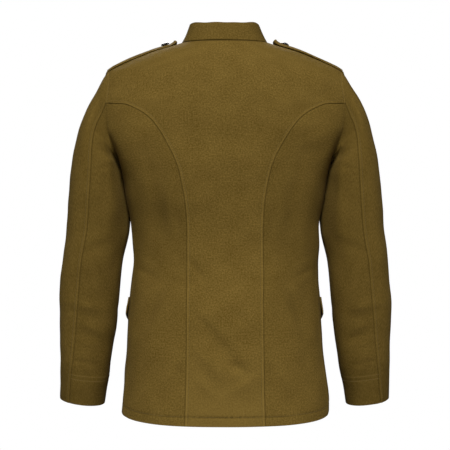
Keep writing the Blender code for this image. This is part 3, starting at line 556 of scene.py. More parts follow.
def unevenness(first, second, seed):
    """Slow swells of worn cloth: a sum of sine waves, each longer one higher, 137.5 degrees apart."""
    total = 0.0
    for i in range(SWELL_WAVES):
        length = SWELL_LENGTH * SWELL_GROWTH ** i
        angle = math.radians(SWELL_SPREAD * (i + seed))
        phase = 2.4 * i * i + 1.7 * seed
        run = first * math.cos(angle) + second * math.sin(angle)
        total = total + SWELL_STEEPNESS * length * np.sin(run * 2 * math.pi / length + phase)
    return total


def body_fold_depth(points, turn):
    """How far the folds press the body in, from where each point is seen from behind or from the front."""
    facing = np.sin(np.radians(turn))
    total = 0.0
    for i in range(len(BODY_FOLD["side"])):
        row = {name: values[i] for name, values in BODY_FOLD.items()}
        shown = ease(row["side"] * facing * 2.0)
        for mirror in (1, -1) if row["both"] else (1,):
            first = mirror * points[..., 0] - row["across"]
            second = points[..., 2] - row["height"]
            total = total + shown * fold(
                first, second, row["lean"], row["half_length"], row["half_width"], row["depth"]
            )
    return total


def body(turn, height, out=0.0, side=1.0, folds=1.0):
    """A point on the body's outer face. Side -1 gives the wearer's right half, still drawn on the left."""
    turn, height = np.broadcast_arrays(np.asarray(turn, dtype=float), np.asarray(height, dtype=float))
    points = plain_body(turn, height)
    placed = points * np.array([side, 1.0, 1.0])
    beside_arm = ease((34.0 - np.abs(turn)) / 20.0) * ease((height + 0.375) / 0.04)
    swell = unevenness(np.radians(90.0 - turn) * 0.15 * side, height, 3.0) * ease((-0.02 - height) / 0.06)
    swell = swell * (1 - beside_arm)
    depth = folds * (body_fold_depth(placed, turn) + swell)
    return points + body_normal(turn, height) * (out - depth)[..., None]


def turn_at(across, height, back):
    """The turn at which the level section at this height reaches this far across."""
    wide, _, square = body_sizes(height, back)
    ratio = np.clip(across / wide, -1.0, 1.0)
    turn = np.degrees(np.arccos(power(ratio, square / 2)))
    return turn if back else -turn


def height_at(across, along):
    """The height at which the body's upper part stands over this place, by halving the range."""
    low = np.full(np.shape(across), -0.30)
    high = np.full(np.shape(across), 0.006)
    for _ in range(34):
        middle = (low + high) / 2
        wide, deep, square = body_sizes(middle, along >= 0)
        inside = np.abs(across / wide) ** square + np.abs(along / deep) ** square < 1
        low = np.where(inside, middle, low)
        high = np.where(inside, high, middle)
    return (low + high) / 2


def turn_over(across, along, height):
    """The turn of the body at a place over it."""
    wide, deep, square = body_sizes(height, along >= 0)
    return np.degrees(np.arctan2(power(along / deep, square / 2), power(across / wide, square / 2)))


def hem_height(turn):
    """Height of the hem round the body."""
    facing = np.sin(np.radians(turn))
    low = np.where(facing >= 0, HEM_BACK, HEM_FRONT)
    return HEM_SIDE + (low - HEM_SIDE) * (1 - (1 - np.abs(facing)) ** HEM_ROUNDING)


def armhole(turn):
    """Turn and height on the body of the armhole seam, whose own turn runs from the shoulder to the back."""
    angle = np.radians(turn)
    middle = (ARMHOLE_TOP + ARMHOLE_BOTTOM) / 2
    height = middle + (ARMHOLE_TOP - middle) * np.cos(angle)
    sine = np.sin(angle)
    back = ARMHOLE_BACK * np.abs(sine) ** ARMHOLE_BACK_FULLNESS
    front = -ARMHOLE_FRONT * np.abs(sine) ** ARMHOLE_FRONT_FULLNESS
    along = np.where(sine >= 0, back, front)
    _, deep, square = body_sizes(height, along >= 0)
    body_turn = np.degrees(np.arcsin(power(along / deep, square / 2)))
    return np.stack([body_turn, height], axis=-1)


def lengths_along(points):
    """How far along a line each of its points is."""
    return np.concatenate([[0.0], np.cumsum(np.linalg.norm(np.diff(points, axis=0), axis=1))])


def princess(run):
    """Turn and height of the back seam, from the hem to the armhole."""
    end_turn, end_height = armhole(ELBOW_SEAM_START)
    end_across = plain_body(end_turn, end_height)[0]
    across = np.append(PRINCESS["across"], end_across)
    height = np.append(PRINCESS["height"], end_height)
    share = lengths_along(np.stack([across, height], axis=-1))
    share = share / share[-1]
    at_across = smooth(share, across, run)
    at_height = smooth(share, height, run)
    return np.stack([turn_at(at_across, at_height, True), at_height], axis=-1)


def side_seam(run):
    """Turn and height of the side seam, from the hem to the bottom of the armhole."""
    low = hem_height(SIDE["turn"][0])
    height = low + (ARMHOLE_BOTTOM - low) * np.asarray(run)
    return np.stack([smooth(SIDE["height"], SIDE["turn"], height), height], axis=-1)


def neck(turn):
    """Turn and height of the neck seam, at turns seen from above: 0 at the side, 90 at the centre back."""
    angle = np.radians(turn)
    across = NECK_HALF_WIDTH * np.cos(angle)
    along = np.where(np.sin(angle) >= 0, NECK_BACK, NECK_FRONT) * np.sin(angle)
    height = height_at(across, along)
    return np.stack([turn_over(across, along, height), height], axis=-1)


def shoulder_seam(run):
    """Turn and height of the shoulder seam, from the armhole to the neck."""
    neck_height = neck(0.0)[1]
    across_start = smooth(BODY["height"], BODY["half_width"], ARMHOLE_TOP)
    across = across_start + (NECK_HALF_WIDTH - across_start) * np.asarray(run, dtype=float)
    rows = BODY["height"] > ARMHOLE_TOP - 0.03
    height = np.interp(across, BODY["half_width"][rows][::-1], BODY["height"][rows][::-1])
    height = ARMHOLE_TOP + (height - height[0]) * (neck_height - ARMHOLE_TOP) / (height[-1] - height[0])
    return np.stack([0 * height, height], axis=-1)


def armhole_loop(turn):
    """Points of the armhole seam."""
    spot = armhole(turn)
    return plain_body(spot[..., 0], spot[..., 1])


def armhole_frame(turn):
    """Along the armhole seam, outward from the body there, and from the seam into the body's cloth."""
    spot = armhole(turn)
    along = unit(armhole_loop(turn + 1.0) - armhole_loop(turn - 1.0))
    outward = body_normal(spot[..., 0], spot[..., 1])
    return along, outward, unit(np.cross(outward, along))


def cap_direction(turn):
    """Which way, and how strongly, the sleeve leaves the armhole. It partly follows the body's cloth."""
    turn = np.asarray(turn, dtype=float)
    wrapped = (turn + 180.0) % 360.0 - 180.0
    out, back, down, follow, pull = looked_up(CAP, CAP_COLUMNS, np.abs(wrapped))
    follow = follow[..., None]
    _, _, into_body = armhole_frame(turn)
    way = np.stack([out, back * np.sign(wrapped), down], axis=-1) * (1 - follow) - into_body * follow
    return unit(way), pull


def sleeve_ring(turn, height):
    """Level section of the sleeve. Turn is 0 on the outer line and 90 at the back."""
    angle = np.radians(turn)
    outer, inner, middle, deep = looked_up(SLEEVE, SLEEVE_COLUMNS, height)
    across = (outer + inner) / 2 + (outer - inner) / 2 * power(np.cos(angle), 2 / SLEEVE_ROUND)
    along = middle + deep * power(np.sin(angle), 2 / SLEEVE_ROUND)
    return np.stack([across, along, height + 0 * angle], axis=-1)


def arm_point(turn, run):
    """The sleeve below its cap. Run is 0 at the cap's end and 1 at the cuff, which leans with the forearm."""
    level = CAP_END + (CUFF_END - CAP_END) * run
    ring = sleeve_ring(turn, level)
    middle = (sleeve_ring(turn * 0.0, level) + sleeve_ring(turn * 0.0 + 180.0, level)) / 2
    lean = ease(run)
    drop = CUFF_LEAN_OUT * (ring - middle)[..., 0] + CUFF_LEAN_FORWARD * (ring - middle)[..., 1]
    return sleeve_ring(turn, level + lean * drop)


def cap_point(turn, run):
    """The sleeve from the armhole to the cap's end: a cubic curve that joins both smoothly."""
    start = armhole_loop(turn)
    end = arm_point(turn, 0.0 * turn)
    end_way = unit(arm_point(turn, 0.0 * turn + 0.02) - end)
    start_way, pull = cap_direction(turn)
    hold = CAP_HOLD + 0.5 * (1 - CAP_HOLD) * (1 - np.cos(np.radians(turn)))
    reach = np.linalg.norm(end - start, axis=-1, keepdims=True)
    t = run[..., None]
    return (
        start * (1 + 2 * t) * (1 - t) ** 2
        + start_way * reach * pull[..., None] * t * (1 - t) ** 2
        + end * t ** 2 * (3 - 2 * t)
        + end_way * reach * hold[..., None] * t ** 2 * (t - 1)
    )


def clear_of_body(points, turn, run):
    """Moves the side that faces the body out to just clear of it."""
    across, along, height = np.moveaxis(points, -1, 0)
    wide, deep, square = body_sizes(height, along >= 0)
    room = 1 - np.minimum(np.abs(along / deep), 1.0) ** square
    body_across = wide * room ** (1 / square)
    under = ease((90.0 - np.abs(turn % 360.0 - 180.0)) / 25.0)
    clear = SLEEVE_CLEAR * ease(run * 3.0) + SLEEVE_CLEAR_START
    short = (body_across + clear) - across
    soft = 0.5 * (short + np.sqrt(short ** 2 + SLEEVE_CLEAR_SOFT ** 2))
    moved = points.copy()
    moved[..., 0] += soft * under * ease(run * 8.0)
    return moved


def plain_sleeve(turn, run):
    """The sleeve before folds. Run is 0 at the armhole, 1 at the cap's end and 2 at the cuff."""
    turn, run = np.broadcast_arrays(np.asarray(turn, dtype=float), np.asarray(run, dtype=float))
    cap = cap_point(turn, np.clip(run, 0.0, 1.0))
    arm = arm_point(turn, np.clip(run - 1.0, 0.0, 1.0))
    points = np.where((run < 1.0)[..., None], cap, arm)
    wrapped = turn % 360.0
    inward = ease((wrapped - 112.0) / 42.0) * ease((225.0 - wrapped) / 40.0)
    points[..., 1] -= TUCK_UNDER * inward * ease((run - 0.15) / 0.4) * ease((1.48 - run) / 0.44)
    near_front = bell((wrapped - FRONT_CLOSE_TURN) / FRONT_CLOSE_SPREAD)
    near_front = near_front * bell((points[..., 2] - FRONT_CLOSE_HEIGHT) / FRONT_CLOSE_REACH)
    points[..., 0] -= FRONT_CLOSE * near_front * ease((run - 0.2) / 0.3)
    return clear_of_body(points, turn, run)


def sleeve_normal(turn, run):
    """Outward from the sleeve before folds."""
    around, downward = slopes(plain_sleeve, turn, np.clip(run, 0.01, 1.99), 0.5, 0.008)
    return unit(np.cross(downward, around))


def sleeve(turn, run, out=0.0, side=1.0):
    """A point on the sleeve's outer face with its folds. Side changes how deep some of them are."""
    turn, run = np.broadcast_arrays(np.asarray(turn, dtype=float), np.asarray(run, dtype=float))
    points = plain_sleeve(turn, run)
    size = smooth(SLEEVE["height"], SLEEVE["half_depth"], points[..., 2])
    total = 0.0
    for i in range(len(SLEEVE_FOLD["turn"])):
        row = {name: values[i] for name, values in SLEEVE_FOLD.items()}
        gap = (turn - row["turn"] + 180.0) % 360.0 - 180.0
        vary = 1.0 + 0.18 * side * math.sin(2.3 * i + 0.7)
        total = total + fold(
            np.radians(gap) * size,
            points[..., 2] - row["height"],
            row["lean"],
            row["half_length"],
            row["half_width"],
            row["depth"] * vary,
        )
    swell = unevenness(np.cos(np.radians(turn)) * 0.06, points[..., 2], 7.0 + 4.0 * side)
    inner_side = ease((56.0 - np.abs(turn % 360.0 - 180.0)) / 20.0) * ease((1.75 - run) / 0.3)
    held = ease(run * 5.0)
    depth = held * (total + swell) * (1 - inner_side)
    shift = armhole_shift(turn, side) * (1 - ease(run / 0.6))[..., None]
    return points + shift + sleeve_normal(turn, run) * (out - depth)[..., None]


def armhole_shift(turn, side):
    """How far the body's swells and folds move the armhole seam, so that the sleeve starts on that line."""
    turns = np.linspace(0.0, 360.0, 361)
    spot = armhole(turns)
    moved = body(spot[:, 0], spot[:, 1], 0.0, side) - plain_body(spot[:, 0], spot[:, 1])
    _, outward, into_body = armhole_frame(turns)
    moved = moved + ARMHOLE_LAP * bell((turns - 250.0) / 28.0)[:, None] * (into_body - 0.4 * outward)
    return np.stack([np.interp(turn % 360.0, turns, moved[:, k]) for k in range(3)], axis=-1)


def seam_turns(run):
    """Turns of the elbow seam and of the front seam along the sleeve."""
    level = CAP_END + (CUFF_END - CAP_END) * np.clip(run - 1.0, 0.0, 1.0)
    elbow = smooth(SLEEVE_SEAM["height"], SLEEVE_SEAM["elbow_turn"], level)
    elbow = elbow + ELBOW_BOW * 5.0 * run * np.exp(1.0 - 5.0 * run)
    front = smooth(SLEEVE_SEAM["height"], SLEEVE_SEAM["front_turn"], level)
    return elbow, front


# Seams, edges and stitch lines as relief on a panel


def nearest(points, line):
    """How far each point is from a line, square to it, and how far along the line that is."""
    flat = points.reshape(-1, 3).astype(np.float32)
    line = line.astype(np.float32)
    tangent = unit(np.gradient(line, axis=0))
    places = lengths_along(line)
    away = np.empty(len(flat))
    along = np.empty(len(flat))
    block = 6000
    for start in range(0, len(flat), block):
        part = flat[start:start + block]
        squared = (
            (part ** 2).sum(axis=1)[:, None] + (line ** 2).sum(axis=1)[None] - 2 * part @ line.T
        )
        index = squared.argmin(axis=1)
        gap = part - line[index]
        forward = (gap * tangent[index]).sum(axis=1)
        away[start:start + block] = np.linalg.norm(gap - forward[:, None] * tangent[index], axis=1)
        inside = (index > 0) & (index < len(line) - 1)
        past = np.where(inside, 0.0, np.maximum(np.abs(forward) - 0.002, 0.0))
        away[start:start + block] += past
        along[start:start + block] = places[index] + forward
    return away.reshape(points.shape[:-1]), along.reshape(points.shape[:-1])


def pucker(along, seed):
    """The small tucks that stitching draws into cloth, uneven in length and strength along the line."""
    first = np.sin(along * 2 * math.pi / TUCK_LONG + 1.3 * np.sin(along * 23.0 + seed))
    second = np.sin(along * 2 * math.pi / TUCK_SHORT + 2.1 * np.sin(along * 17.0 + 2.0 * seed))
    strength = 0.55 + 0.45 * np.sin(along * 31.0 + seed * 1.7)
    return (0.65 * first + 0.35 * second) * strength


def seam_relief(points, line, welt, stitched, tucks, seed, dark=1.0, wide=0.0010, groove=1.0):
    """Rise of the cloth beside a seam: a groove at it, a raised welt, a stitched furrow and small tucks, with
    painted shade down the seam and furrow and a painted highlight along the welt.
    """
    away, along = nearest(points, line)
    rise = -groove * GROOVE_DEPTH * bell(away / GROOVE_WIDTH)
    past_welt = ease((away - STITCH_IN + WELT_PAST_STITCH) / WELT_FALL)
    rise = rise + welt * ease(away / WELT_FOOT) * (1 - past_welt)
    if stitched:
        rise = rise - FURROW_DEPTH * bell((away - STITCH_IN) / FURROW_WIDTH)
    rise = rise + tucks * pucker(along, seed) * bell((away - TUCK_MIDDLE) / TUCK_REACH)
    # Painted shade down the seam line and in the stitched furrow
    shade = dark * bell(away / wide)
    if stitched:
        shade = shade + 0.10 * bell((away - STITCH_IN) / STITCH_SHADE_WIDTH)
    # Painted highlight along the welt's crest
    light = welt / WELT_RISE * bell((away - WELT_HIGHLIGHT_PLACE) / WELT_HIGHLIGHT_WIDTH)
    return rise, shade, light


def stitch_relief(points, line, distance, tucks, seed, dark=0.10, rub_and_highlight=0.4, deeper=1.0):
    """Rise beside a line of stitches this far from an edge: a furrow, with tucks either side of it, painted
    shade in the furrow and a painted highlight just past it.
    """
    away, along = nearest(points, line)
    rise = -deeper * FURROW_DEPTH * bell((away - distance) / (FURROW_WIDTH * math.sqrt(deeper)))
    rise = rise + tucks * pucker(along, seed) * bell((away - distance) / 0.010)
    # Painted shade in the furrow, uneven along it
    uneven = 0.8 + 0.5 * pucker(along, seed + 4.0)
    shade = dark * uneven * bell((away - distance) / 0.0014)
    # Painted highlight just past the furrow
    return rise, shade, rub_and_highlight * bell((away - distance - 0.0004) / 0.0017)


def edge_relief(points, line):
    """A turned edge: the face rounds over as a quarter circle in its last stretch, lightened along it by
    rubbed wear and painted highlight.
    """
    away, _ = nearest(points, line)
    short = np.clip(1 - away / EDGE_ROUND, 0.0, 1.0)
    rise = -0.45 * EDGE_ROUND * (1 - np.sqrt(1 - 0.99 * short ** 2))
    return rise, 0.0 * away, 0.5 * bell(away / EDGE_RUB_AND_HIGHLIGHT)


def summed(parts):
    """Rise, shade and light of several seams together."""
    return [sum(values) for values in zip(*parts)]


# Grids


def crowded(sizes, count, start=True):
    """Places 0 to 1 across panels of these sizes, close beside the last edge, and the first with start."""
    sizes = np.asarray(sizes, dtype=float)[:, None]
    places = EDGE_PLACES[None, :] / sizes
    shrink = np.minimum(1.0, 0.32 / places[:, -1:])
    places = places * shrink
    low = places if start else np.zeros_like(sizes)
    high = 1 - places[:, ::-1]
    t = np.linspace(0.0, 1.0, count + 2)[None, 1:-1]
    middle = low[:, -1:] * (1 - t) + high[:, :1] * t
    return np.concatenate([low, middle, high], axis=1)


def patch(inner, outer, low, high, rows, count, crowd_inner):
    """Turns and heights between four edges. Inner and outer run up these rows, low and high are tables."""
    straight = np.linspace(0.0, 1.0, 25)[None, :, None]
    line = inner[:, None] * (1 - straight) + outer[:, None] * straight
    spans = np.linalg.norm(np.diff(plain_body(line[..., 0], line[..., 1]), axis=1), axis=-1).sum(axis=1)
    columns = crowded(spans, count, crowd_inner)
    across = inner[:, None] * (1 - columns[..., None]) + outer[:, None] * columns[..., None]
    share = np.linspace(0.0, 1.0, len(low))

    def miss(edge):
        """How far a curved edge lies from the straight line between its ends."""
        return np.stack([
            np.interp(columns, share, edge[:, k]) - edge[0][k] * (1 - columns) - edge[-1][k] * columns
            for k in range(2)
        ], axis=-1)

    rows = rows[:, None, None]
    return across + miss(low) * (1 - rows) ** 3 + miss(high) * rows ** 3


def fine_rows(line, count):
    """Row places from 0 to count along a line known at whole places, crowded at both ends."""
    places = [np.zeros(1)]
    lengths = np.linalg.norm(np.diff(line, axis=0), axis=1)
    for i in range(count):
        parts = max(int(round(lengths[i] / ROW_SPACING)), 1)
        places.append(i + np.arange(1, parts + 1) / parts)
    places = np.concatenate(places)
    near = EDGE_PLACES / lengths[0]
    places = np.concatenate([near, places[places > near[-1] * 1.05]])
    near = count - EDGE_PLACES[::-1] / lengths[-1]
    return np.concatenate([places[places < count - EDGE_PLACES[-1] / lengths[-1] * 1.05], near])


def grid_faces(rows, columns):
    """The four corners of each cell of a grid of points."""
    index = np.arange(rows * columns).reshape(rows, columns)
    corners = np.stack([index[:-1, :-1], index[:-1, 1:], index[1:, 1:], index[1:, :-1]], axis=-1)
    return corners.reshape(-1, 4)


def add_object(name, data):
    item = bpy.data.objects.new(name, data)
    bpy.context.scene.collection.objects.link(item)
    return item


def make_mesh(name, points, faces, material, uv=None, values=None):
    """An object of points and four-cornered faces, riding on the root, with its map and point values."""
    mesh = bpy.data.meshes.new(name)
    mesh.vertices.add(len(points))
    mesh.vertices.foreach_set("co", np.ascontiguousarray(points, dtype=np.float32).ravel())
    mesh.loops.add(faces.size)
    mesh.loops.foreach_set("vertex_index", np.ascontiguousarray(faces, dtype=np.int32).ravel())
    mesh.polygons.add(len(faces))
    mesh.polygons.foreach_set("loop_start", np.arange(0, faces.size, faces.shape[1], dtype=np.int32))
    mesh.polygons.foreach_set("use_smooth", np.full(len(faces), True))
    mesh.update(calc_edges=True)
    if uv is not None:
        layer = mesh.uv_layers.new(name="cloth")
        layer.uv.foreach_set("vector", np.ascontiguousarray(uv[faces.ravel()], dtype=np.float32).ravel())
    for key, value in (values or {}).items():
        attribute = mesh.attributes.new(key, "FLOAT", "POINT")
        attribute.data.foreach_set("value", np.ascontiguousarray(value, dtype=np.float32).ravel())
    mesh.materials.append(material)
    item = add_object(name, mesh)
    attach(item, "root")
    return item


def shell(name, node, outer, inner, turned, shade, light):
    """A closed sheet: a grid for each face and a rim round them, with a map measured along the grid."""
    rows, columns = outer.shape[:2]
    count = rows * columns
    front = grid_faces(rows, columns)
    back = front[:, ::-1] + count
    index = np.arange(count).reshape(rows, columns)
    border = np.concatenate([index[0, :-1], index[:-1, -1], index[-1, :0:-1], index[:0:-1, 0]])
    after = np.roll(border, -1)
    rim = np.stack([after, border, border + count, after + count], axis=-1)
    faces = np.concatenate([front, back, rim])
    if turned:
        faces = faces[:, ::-1]
    step_across = np.linalg.norm(np.diff(outer, axis=1), axis=-1)
    step_up = np.linalg.norm(np.diff(outer, axis=0), axis=-1)
    across = np.concatenate([np.zeros((rows, 1)), np.cumsum(step_across, axis=1)], axis=1)
    across = across - across[:, columns // 2:columns // 2 + 1]
    up = np.concatenate([np.zeros((1, columns)), np.cumsum(step_up, axis=0)], axis=0)
    uv = np.stack([across, up], axis=-1).reshape(-1, 2)
    item = make_mesh(
        name,
        np.concatenate([outer.reshape(-1, 3), inner.reshape(-1, 3)]),
        faces,
        WOOL_CLOTH,
        np.concatenate([uv, uv]),
        {
            # Painted shade from seams, furrows and each part's height, at half strength over the whole inner
            # face; the raised value is rubbed wear and painted light
            "painted_darkening": np.concatenate([shade.ravel(), 0.5 + 0.0 * shade.ravel()]),
            "raised": np.concatenate([light.ravel(), 0.0 * light.ravel()]),
        },
    )
    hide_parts(node)
    return item


def mirrored(points):
    return points * np.array([-1.0, 1.0, 1.0])


def handed(side, *grids):
    """Grids as drawn for the wearer's left, mirrored for the right."""
    return [mirrored(grid) if side < 0 else grid for grid in grids]


def close_at_ends(size, near_count, count):
    """Places from 0 to 1 along this size, set close beside both ends and evenly between."""
    near = EDGE_PLACES[:near_count] / size
    return np.concatenate([near, np.linspace(near[-1], 1 - near[-1], count)[1:-1], 1 - near[::-1]])


# Stitches


def stitch_shape():
    """One stitch: a round thread that dips into the cloth at both ends, as rings of five points along it."""
    along = np.array([-0.5, -0.38, 0.0, 0.38, 0.5]) * STITCH_LENGTH
    rise = np.array([-1.6, -0.35, 0.25, -0.35, -1.6]) * STITCH_RADIUS
    thick = np.array([0.55, 0.95, 1.0, 0.95, 0.55]) * STITCH_RADIUS
    angle = np.linspace(0.0, 2 * math.pi, 5, endpoint=False)
    points = np.stack([
        along[:, None] + 0 * angle,
        thick[:, None] * np.cos(angle),
        rise[:, None] + thick[:, None] * np.sin(angle),
    ], axis=-1).reshape(-1, 3)
    faces = []
    for ring in range(4):
        for side in range(5):
            after = (side + 1) % 5
            faces.append((ring * 5 + side, ring * 5 + after, ring * 5 + 5 + after, ring * 5 + 5 + side))
    return points, np.array(faces)[:, ::-1]


def evenly(line, normals, pitch):
    """Places, directions and normals spaced evenly along a line."""
    places = lengths_along(line)
    count = max(int(places[-1] / pitch), 1)
    at = (np.arange(count) + 0.5) * places[-1] / count
    spots = np.stack([np.interp(at, places, line[:, k]) for k in range(3)], axis=-1)
    ups = unit(np.stack([np.interp(at, places, normals[:, k]) for k in range(3)], axis=-1))
    before = np.stack([np.interp(at - pitch / 2, places, line[:, k]) for k in range(3)], axis=-1)
    after = np.stack([np.interp(at + pitch / 2, places, line[:, k]) for k in range(3)], axis=-1)
    ways = unit(after - before)
    return spots, ways, unit(ups - (ups * ways).sum(axis=-1, keepdims=True) * ways)


def make_stitches(name, lines):
    """All the stitches of a panel as one mesh. Each line is (points, normals, pitch)."""
    shape, faces = stitch_shape()
    spots, ways, ups = (np.concatenate(part) for part in zip(*[evenly(*line) for line in lines]))
    sides = np.cross(ups, ways)
    points = (
        spots[:, None]
        + ways[:, None] * shape[None, :, 0:1]
        + sides[:, None] * shape[None, :, 1:2]
        + ups[:, None] * shape[None, :, 2:3]
    )
    all_faces = faces[None] + (np.arange(len(spots)) * len(shape))[:, None, None]
    item = make_mesh(name, points.reshape(-1, 3), all_faces.reshape(-1, 4), THREAD_KHAKI)
    return item


def inside_line(surface, spots, distance, steps, flip):
    """A line on a surface, this far to one side of another line: solved from the surface's two tangents."""
    first, second = slopes(surface, spots[:, 0], spots[:, 1], *steps)
    first = first / (2 * steps[0])
    second = second / (2 * steps[1])
    points = surface(spots[:, 0], spots[:, 1])
    tangent = unit(np.gradient(points, axis=0))
    normal = unit(np.cross(first, second))
    wanted = unit(np.cross(normal, tangent)) * distance * flip
    a = (first * first).sum(axis=-1)
    b = (first * second).sum(axis=-1)
    c = (second * second).sum(axis=-1)
    p = (first * wanted).sum(axis=-1)
    q = (second * wanted).sum(axis=-1)
    full = a * c - b * b
    moved = spots + np.stack([(c * p - b * q) / full, (a * q - b * p) / full], axis=-1)
    return moved


# Materials


def new_group(name, inputs, outputs):
    """An empty shader group with these named sockets, and its two end nodes."""
    group = bpy.data.node_groups.new(name, "ShaderNodeTree")
    kinds = {"value": "NodeSocketFloat", "colour": "NodeSocketColor", "vector": "NodeSocketVector"}
    for socket, kind, default in inputs:
        made = group.interface.new_socket(name=socket, in_out="INPUT", socket_type=kinds[kind])
        if default is not None:
            made.default_value = default
    for socket, kind in outputs:
        group.interface.new_socket(name=socket, in_out="OUTPUT", socket_type=kinds[kind])
    return group, group.nodes.new("NodeGroupInput"), group.nodes.new("NodeGroupOutput")


def calculate(tree, operation, first, second=None, third=None):
    """A Math node on sockets or numbers, and its result."""
    node = tree.nodes.new("ShaderNodeMath")
    node.operation = operation
    for place, value in enumerate((first, second, third)):
        if value is None:
            continue
        if isinstance(value, (int, float)):
            node.inputs[place].default_value = value
        else:
            tree.links.new(value, node.inputs[place])
    return node.outputs[0]


def mixed(tree, amount, first, second):
    """A blend of two colours by an amount socket."""
    node = tree.nodes.new("ShaderNodeMix")
    node.data_type = "RGBA"
    tree.links.new(amount, node.inputs["Factor"])
    for socket, value in ((node.inputs["A"], first), (node.inputs["B"], second)):
        if isinstance(value, tuple):
            socket.default_value = (*value, 1.0)
        else:
            tree.links.new(value, socket)
    return node.outputs["Result"]


def noise(tree, vector, scale, detail, roughness=0.5):
    node = tree.nodes.new("ShaderNodeTexNoise")
    node.inputs["Scale"].default_value = scale
    node.inputs["Detail"].default_value = detail
    node.inputs["Roughness"].default_value = roughness
    tree.links.new(vector, node.inputs["Vector"])
    return node.outputs["Fac"]


def ramp(tree, value, low, high):
    """0 below low, 1 above high."""
    node = tree.nodes.new("ShaderNodeMapRange")
    node.inputs["From Min"].default_value = low
    node.inputs["From Max"].default_value = high
    tree.links.new(value, node.inputs["Value"])
    return node.outputs["Result"]


def make_melange_group():
    """Fibres of mixed shades: fine speckle, short flecks and slow clouding of a base colour."""
    group, given, wanted = new_group(
        "melange",
        [
            ("Vector", "vector", None),
            ("Base", "colour", None),
            ("Fibre", "colour", None),
            ("Amount", "value", 1.0),
        ],
        [("Colour", "colour")],
    )
    vector = given.outputs["Vector"]
    speck = ramp(group, noise(group, vector, 900.0, 2.0, 0.6), 0.30, 0.75)
    fleck = ramp(group, noise(group, vector, 330.0, 3.0, 0.6), 0.35, 0.72)
    cloud = ramp(group, noise(group, vector, 26.0, 3.0), 0.30, 0.70)
    light = calculate(group, "MULTIPLY", speck, 0.30)
    light = calculate(group, "MULTIPLY_ADD", fleck, 0.66, light)
    light = calculate(group, "MULTIPLY_ADD", cloud, 0.16, light)
    light = calculate(group, "MULTIPLY", light, given.outputs["Amount"])
    colour = mixed(group, light, given.outputs["Base"], given.outputs["Fibre"])
    group.links.new(colour, wanted.inputs["Colour"])
    return group


def make_painted_tone_group():
    """Darkens cloth with painted shade: down in seams and furrows, over the inner face and down each part's
    height. Lightens it toward the fibre colour along welts, edges, stitch rows and the hem: rubbed wear and
    painted light.
    """
    group, given, wanted = new_group(
        "painted_shade_rub_and_light",
        [
            ("Colour", "colour", None),
            ("Shade", "value", 0.0),
            ("Rub_And_Painted_Light", "value", 0.0),
            ("Fibre", "colour", None),
        ],
        [("Colour", "colour")],
    )
    # Rubbed wear and painted light mix the colour toward the fibre
    rub_and_highlight = calculate(group, "MULTIPLY", given.outputs["Rub_And_Painted_Light"], 0.42)
    colour = mixed(group, rub_and_highlight, given.outputs["Colour"], given.outputs["Fibre"])
    # Painted shade mixes the colour toward the shadow colour
    deep = calculate(group, "MULTIPLY", given.outputs["Shade"], 0.50)
    colour = mixed(group, deep, colour, WOOL_SHADOW)
    group.links.new(colour, wanted.inputs["Colour"])
    return group


def make_twill_group():
    """Height of a twill: fine slanting ribs, softened by a raised nap, and soft unevenness of the finish."""
    group, given, wanted = new_group(
        "twill",
        [("Vector", "vector", None), ("Ribs", "value", 1.0), ("Nap", "value", 1.0)],
        [("Height", "value")],
    )
    vector = given.outputs["Vector"]
    rib = group.nodes.new("ShaderNodeTexWave")
    rib.wave_type = "BANDS"
    rib.bands_direction = "DIAGONAL"
    rib.inputs["Scale"].default_value = 190.0
    rib.inputs["Distortion"].default_value = 2.2
    rib.inputs["Detail"].default_value = 2.0
    rib.inputs["Detail Scale"].default_value = 3.0
    group.links.new(vector, rib.inputs["Vector"])
    height = calculate(group, "MULTIPLY", rib.outputs["Fac"], given.outputs["Ribs"])
    nap = calculate(group, "MULTIPLY", noise(group, vector, 620.0, 3.0, 0.65), given.outputs["Nap"])
    soft = calculate(group, "MULTIPLY", noise(group, vector, 90.0, 3.0), 2.2)
    height = calculate(group, "ADD", height, nap)
    height = calculate(group, "ADD", height, soft)
    group.links.new(height, wanted.inputs["Height"])
    return group


def new_material(name, roughness):
    made = bpy.data.materials.new(name)
    made.use_nodes = True
    shader = made.node_tree.nodes["Principled BSDF"]
    shader.inputs["Roughness"].default_value = roughness
    return made, made.node_tree, shader


def placed(tree, group):
    node = tree.nodes.new("ShaderNodeGroup")
    node.node_tree = group
    return node


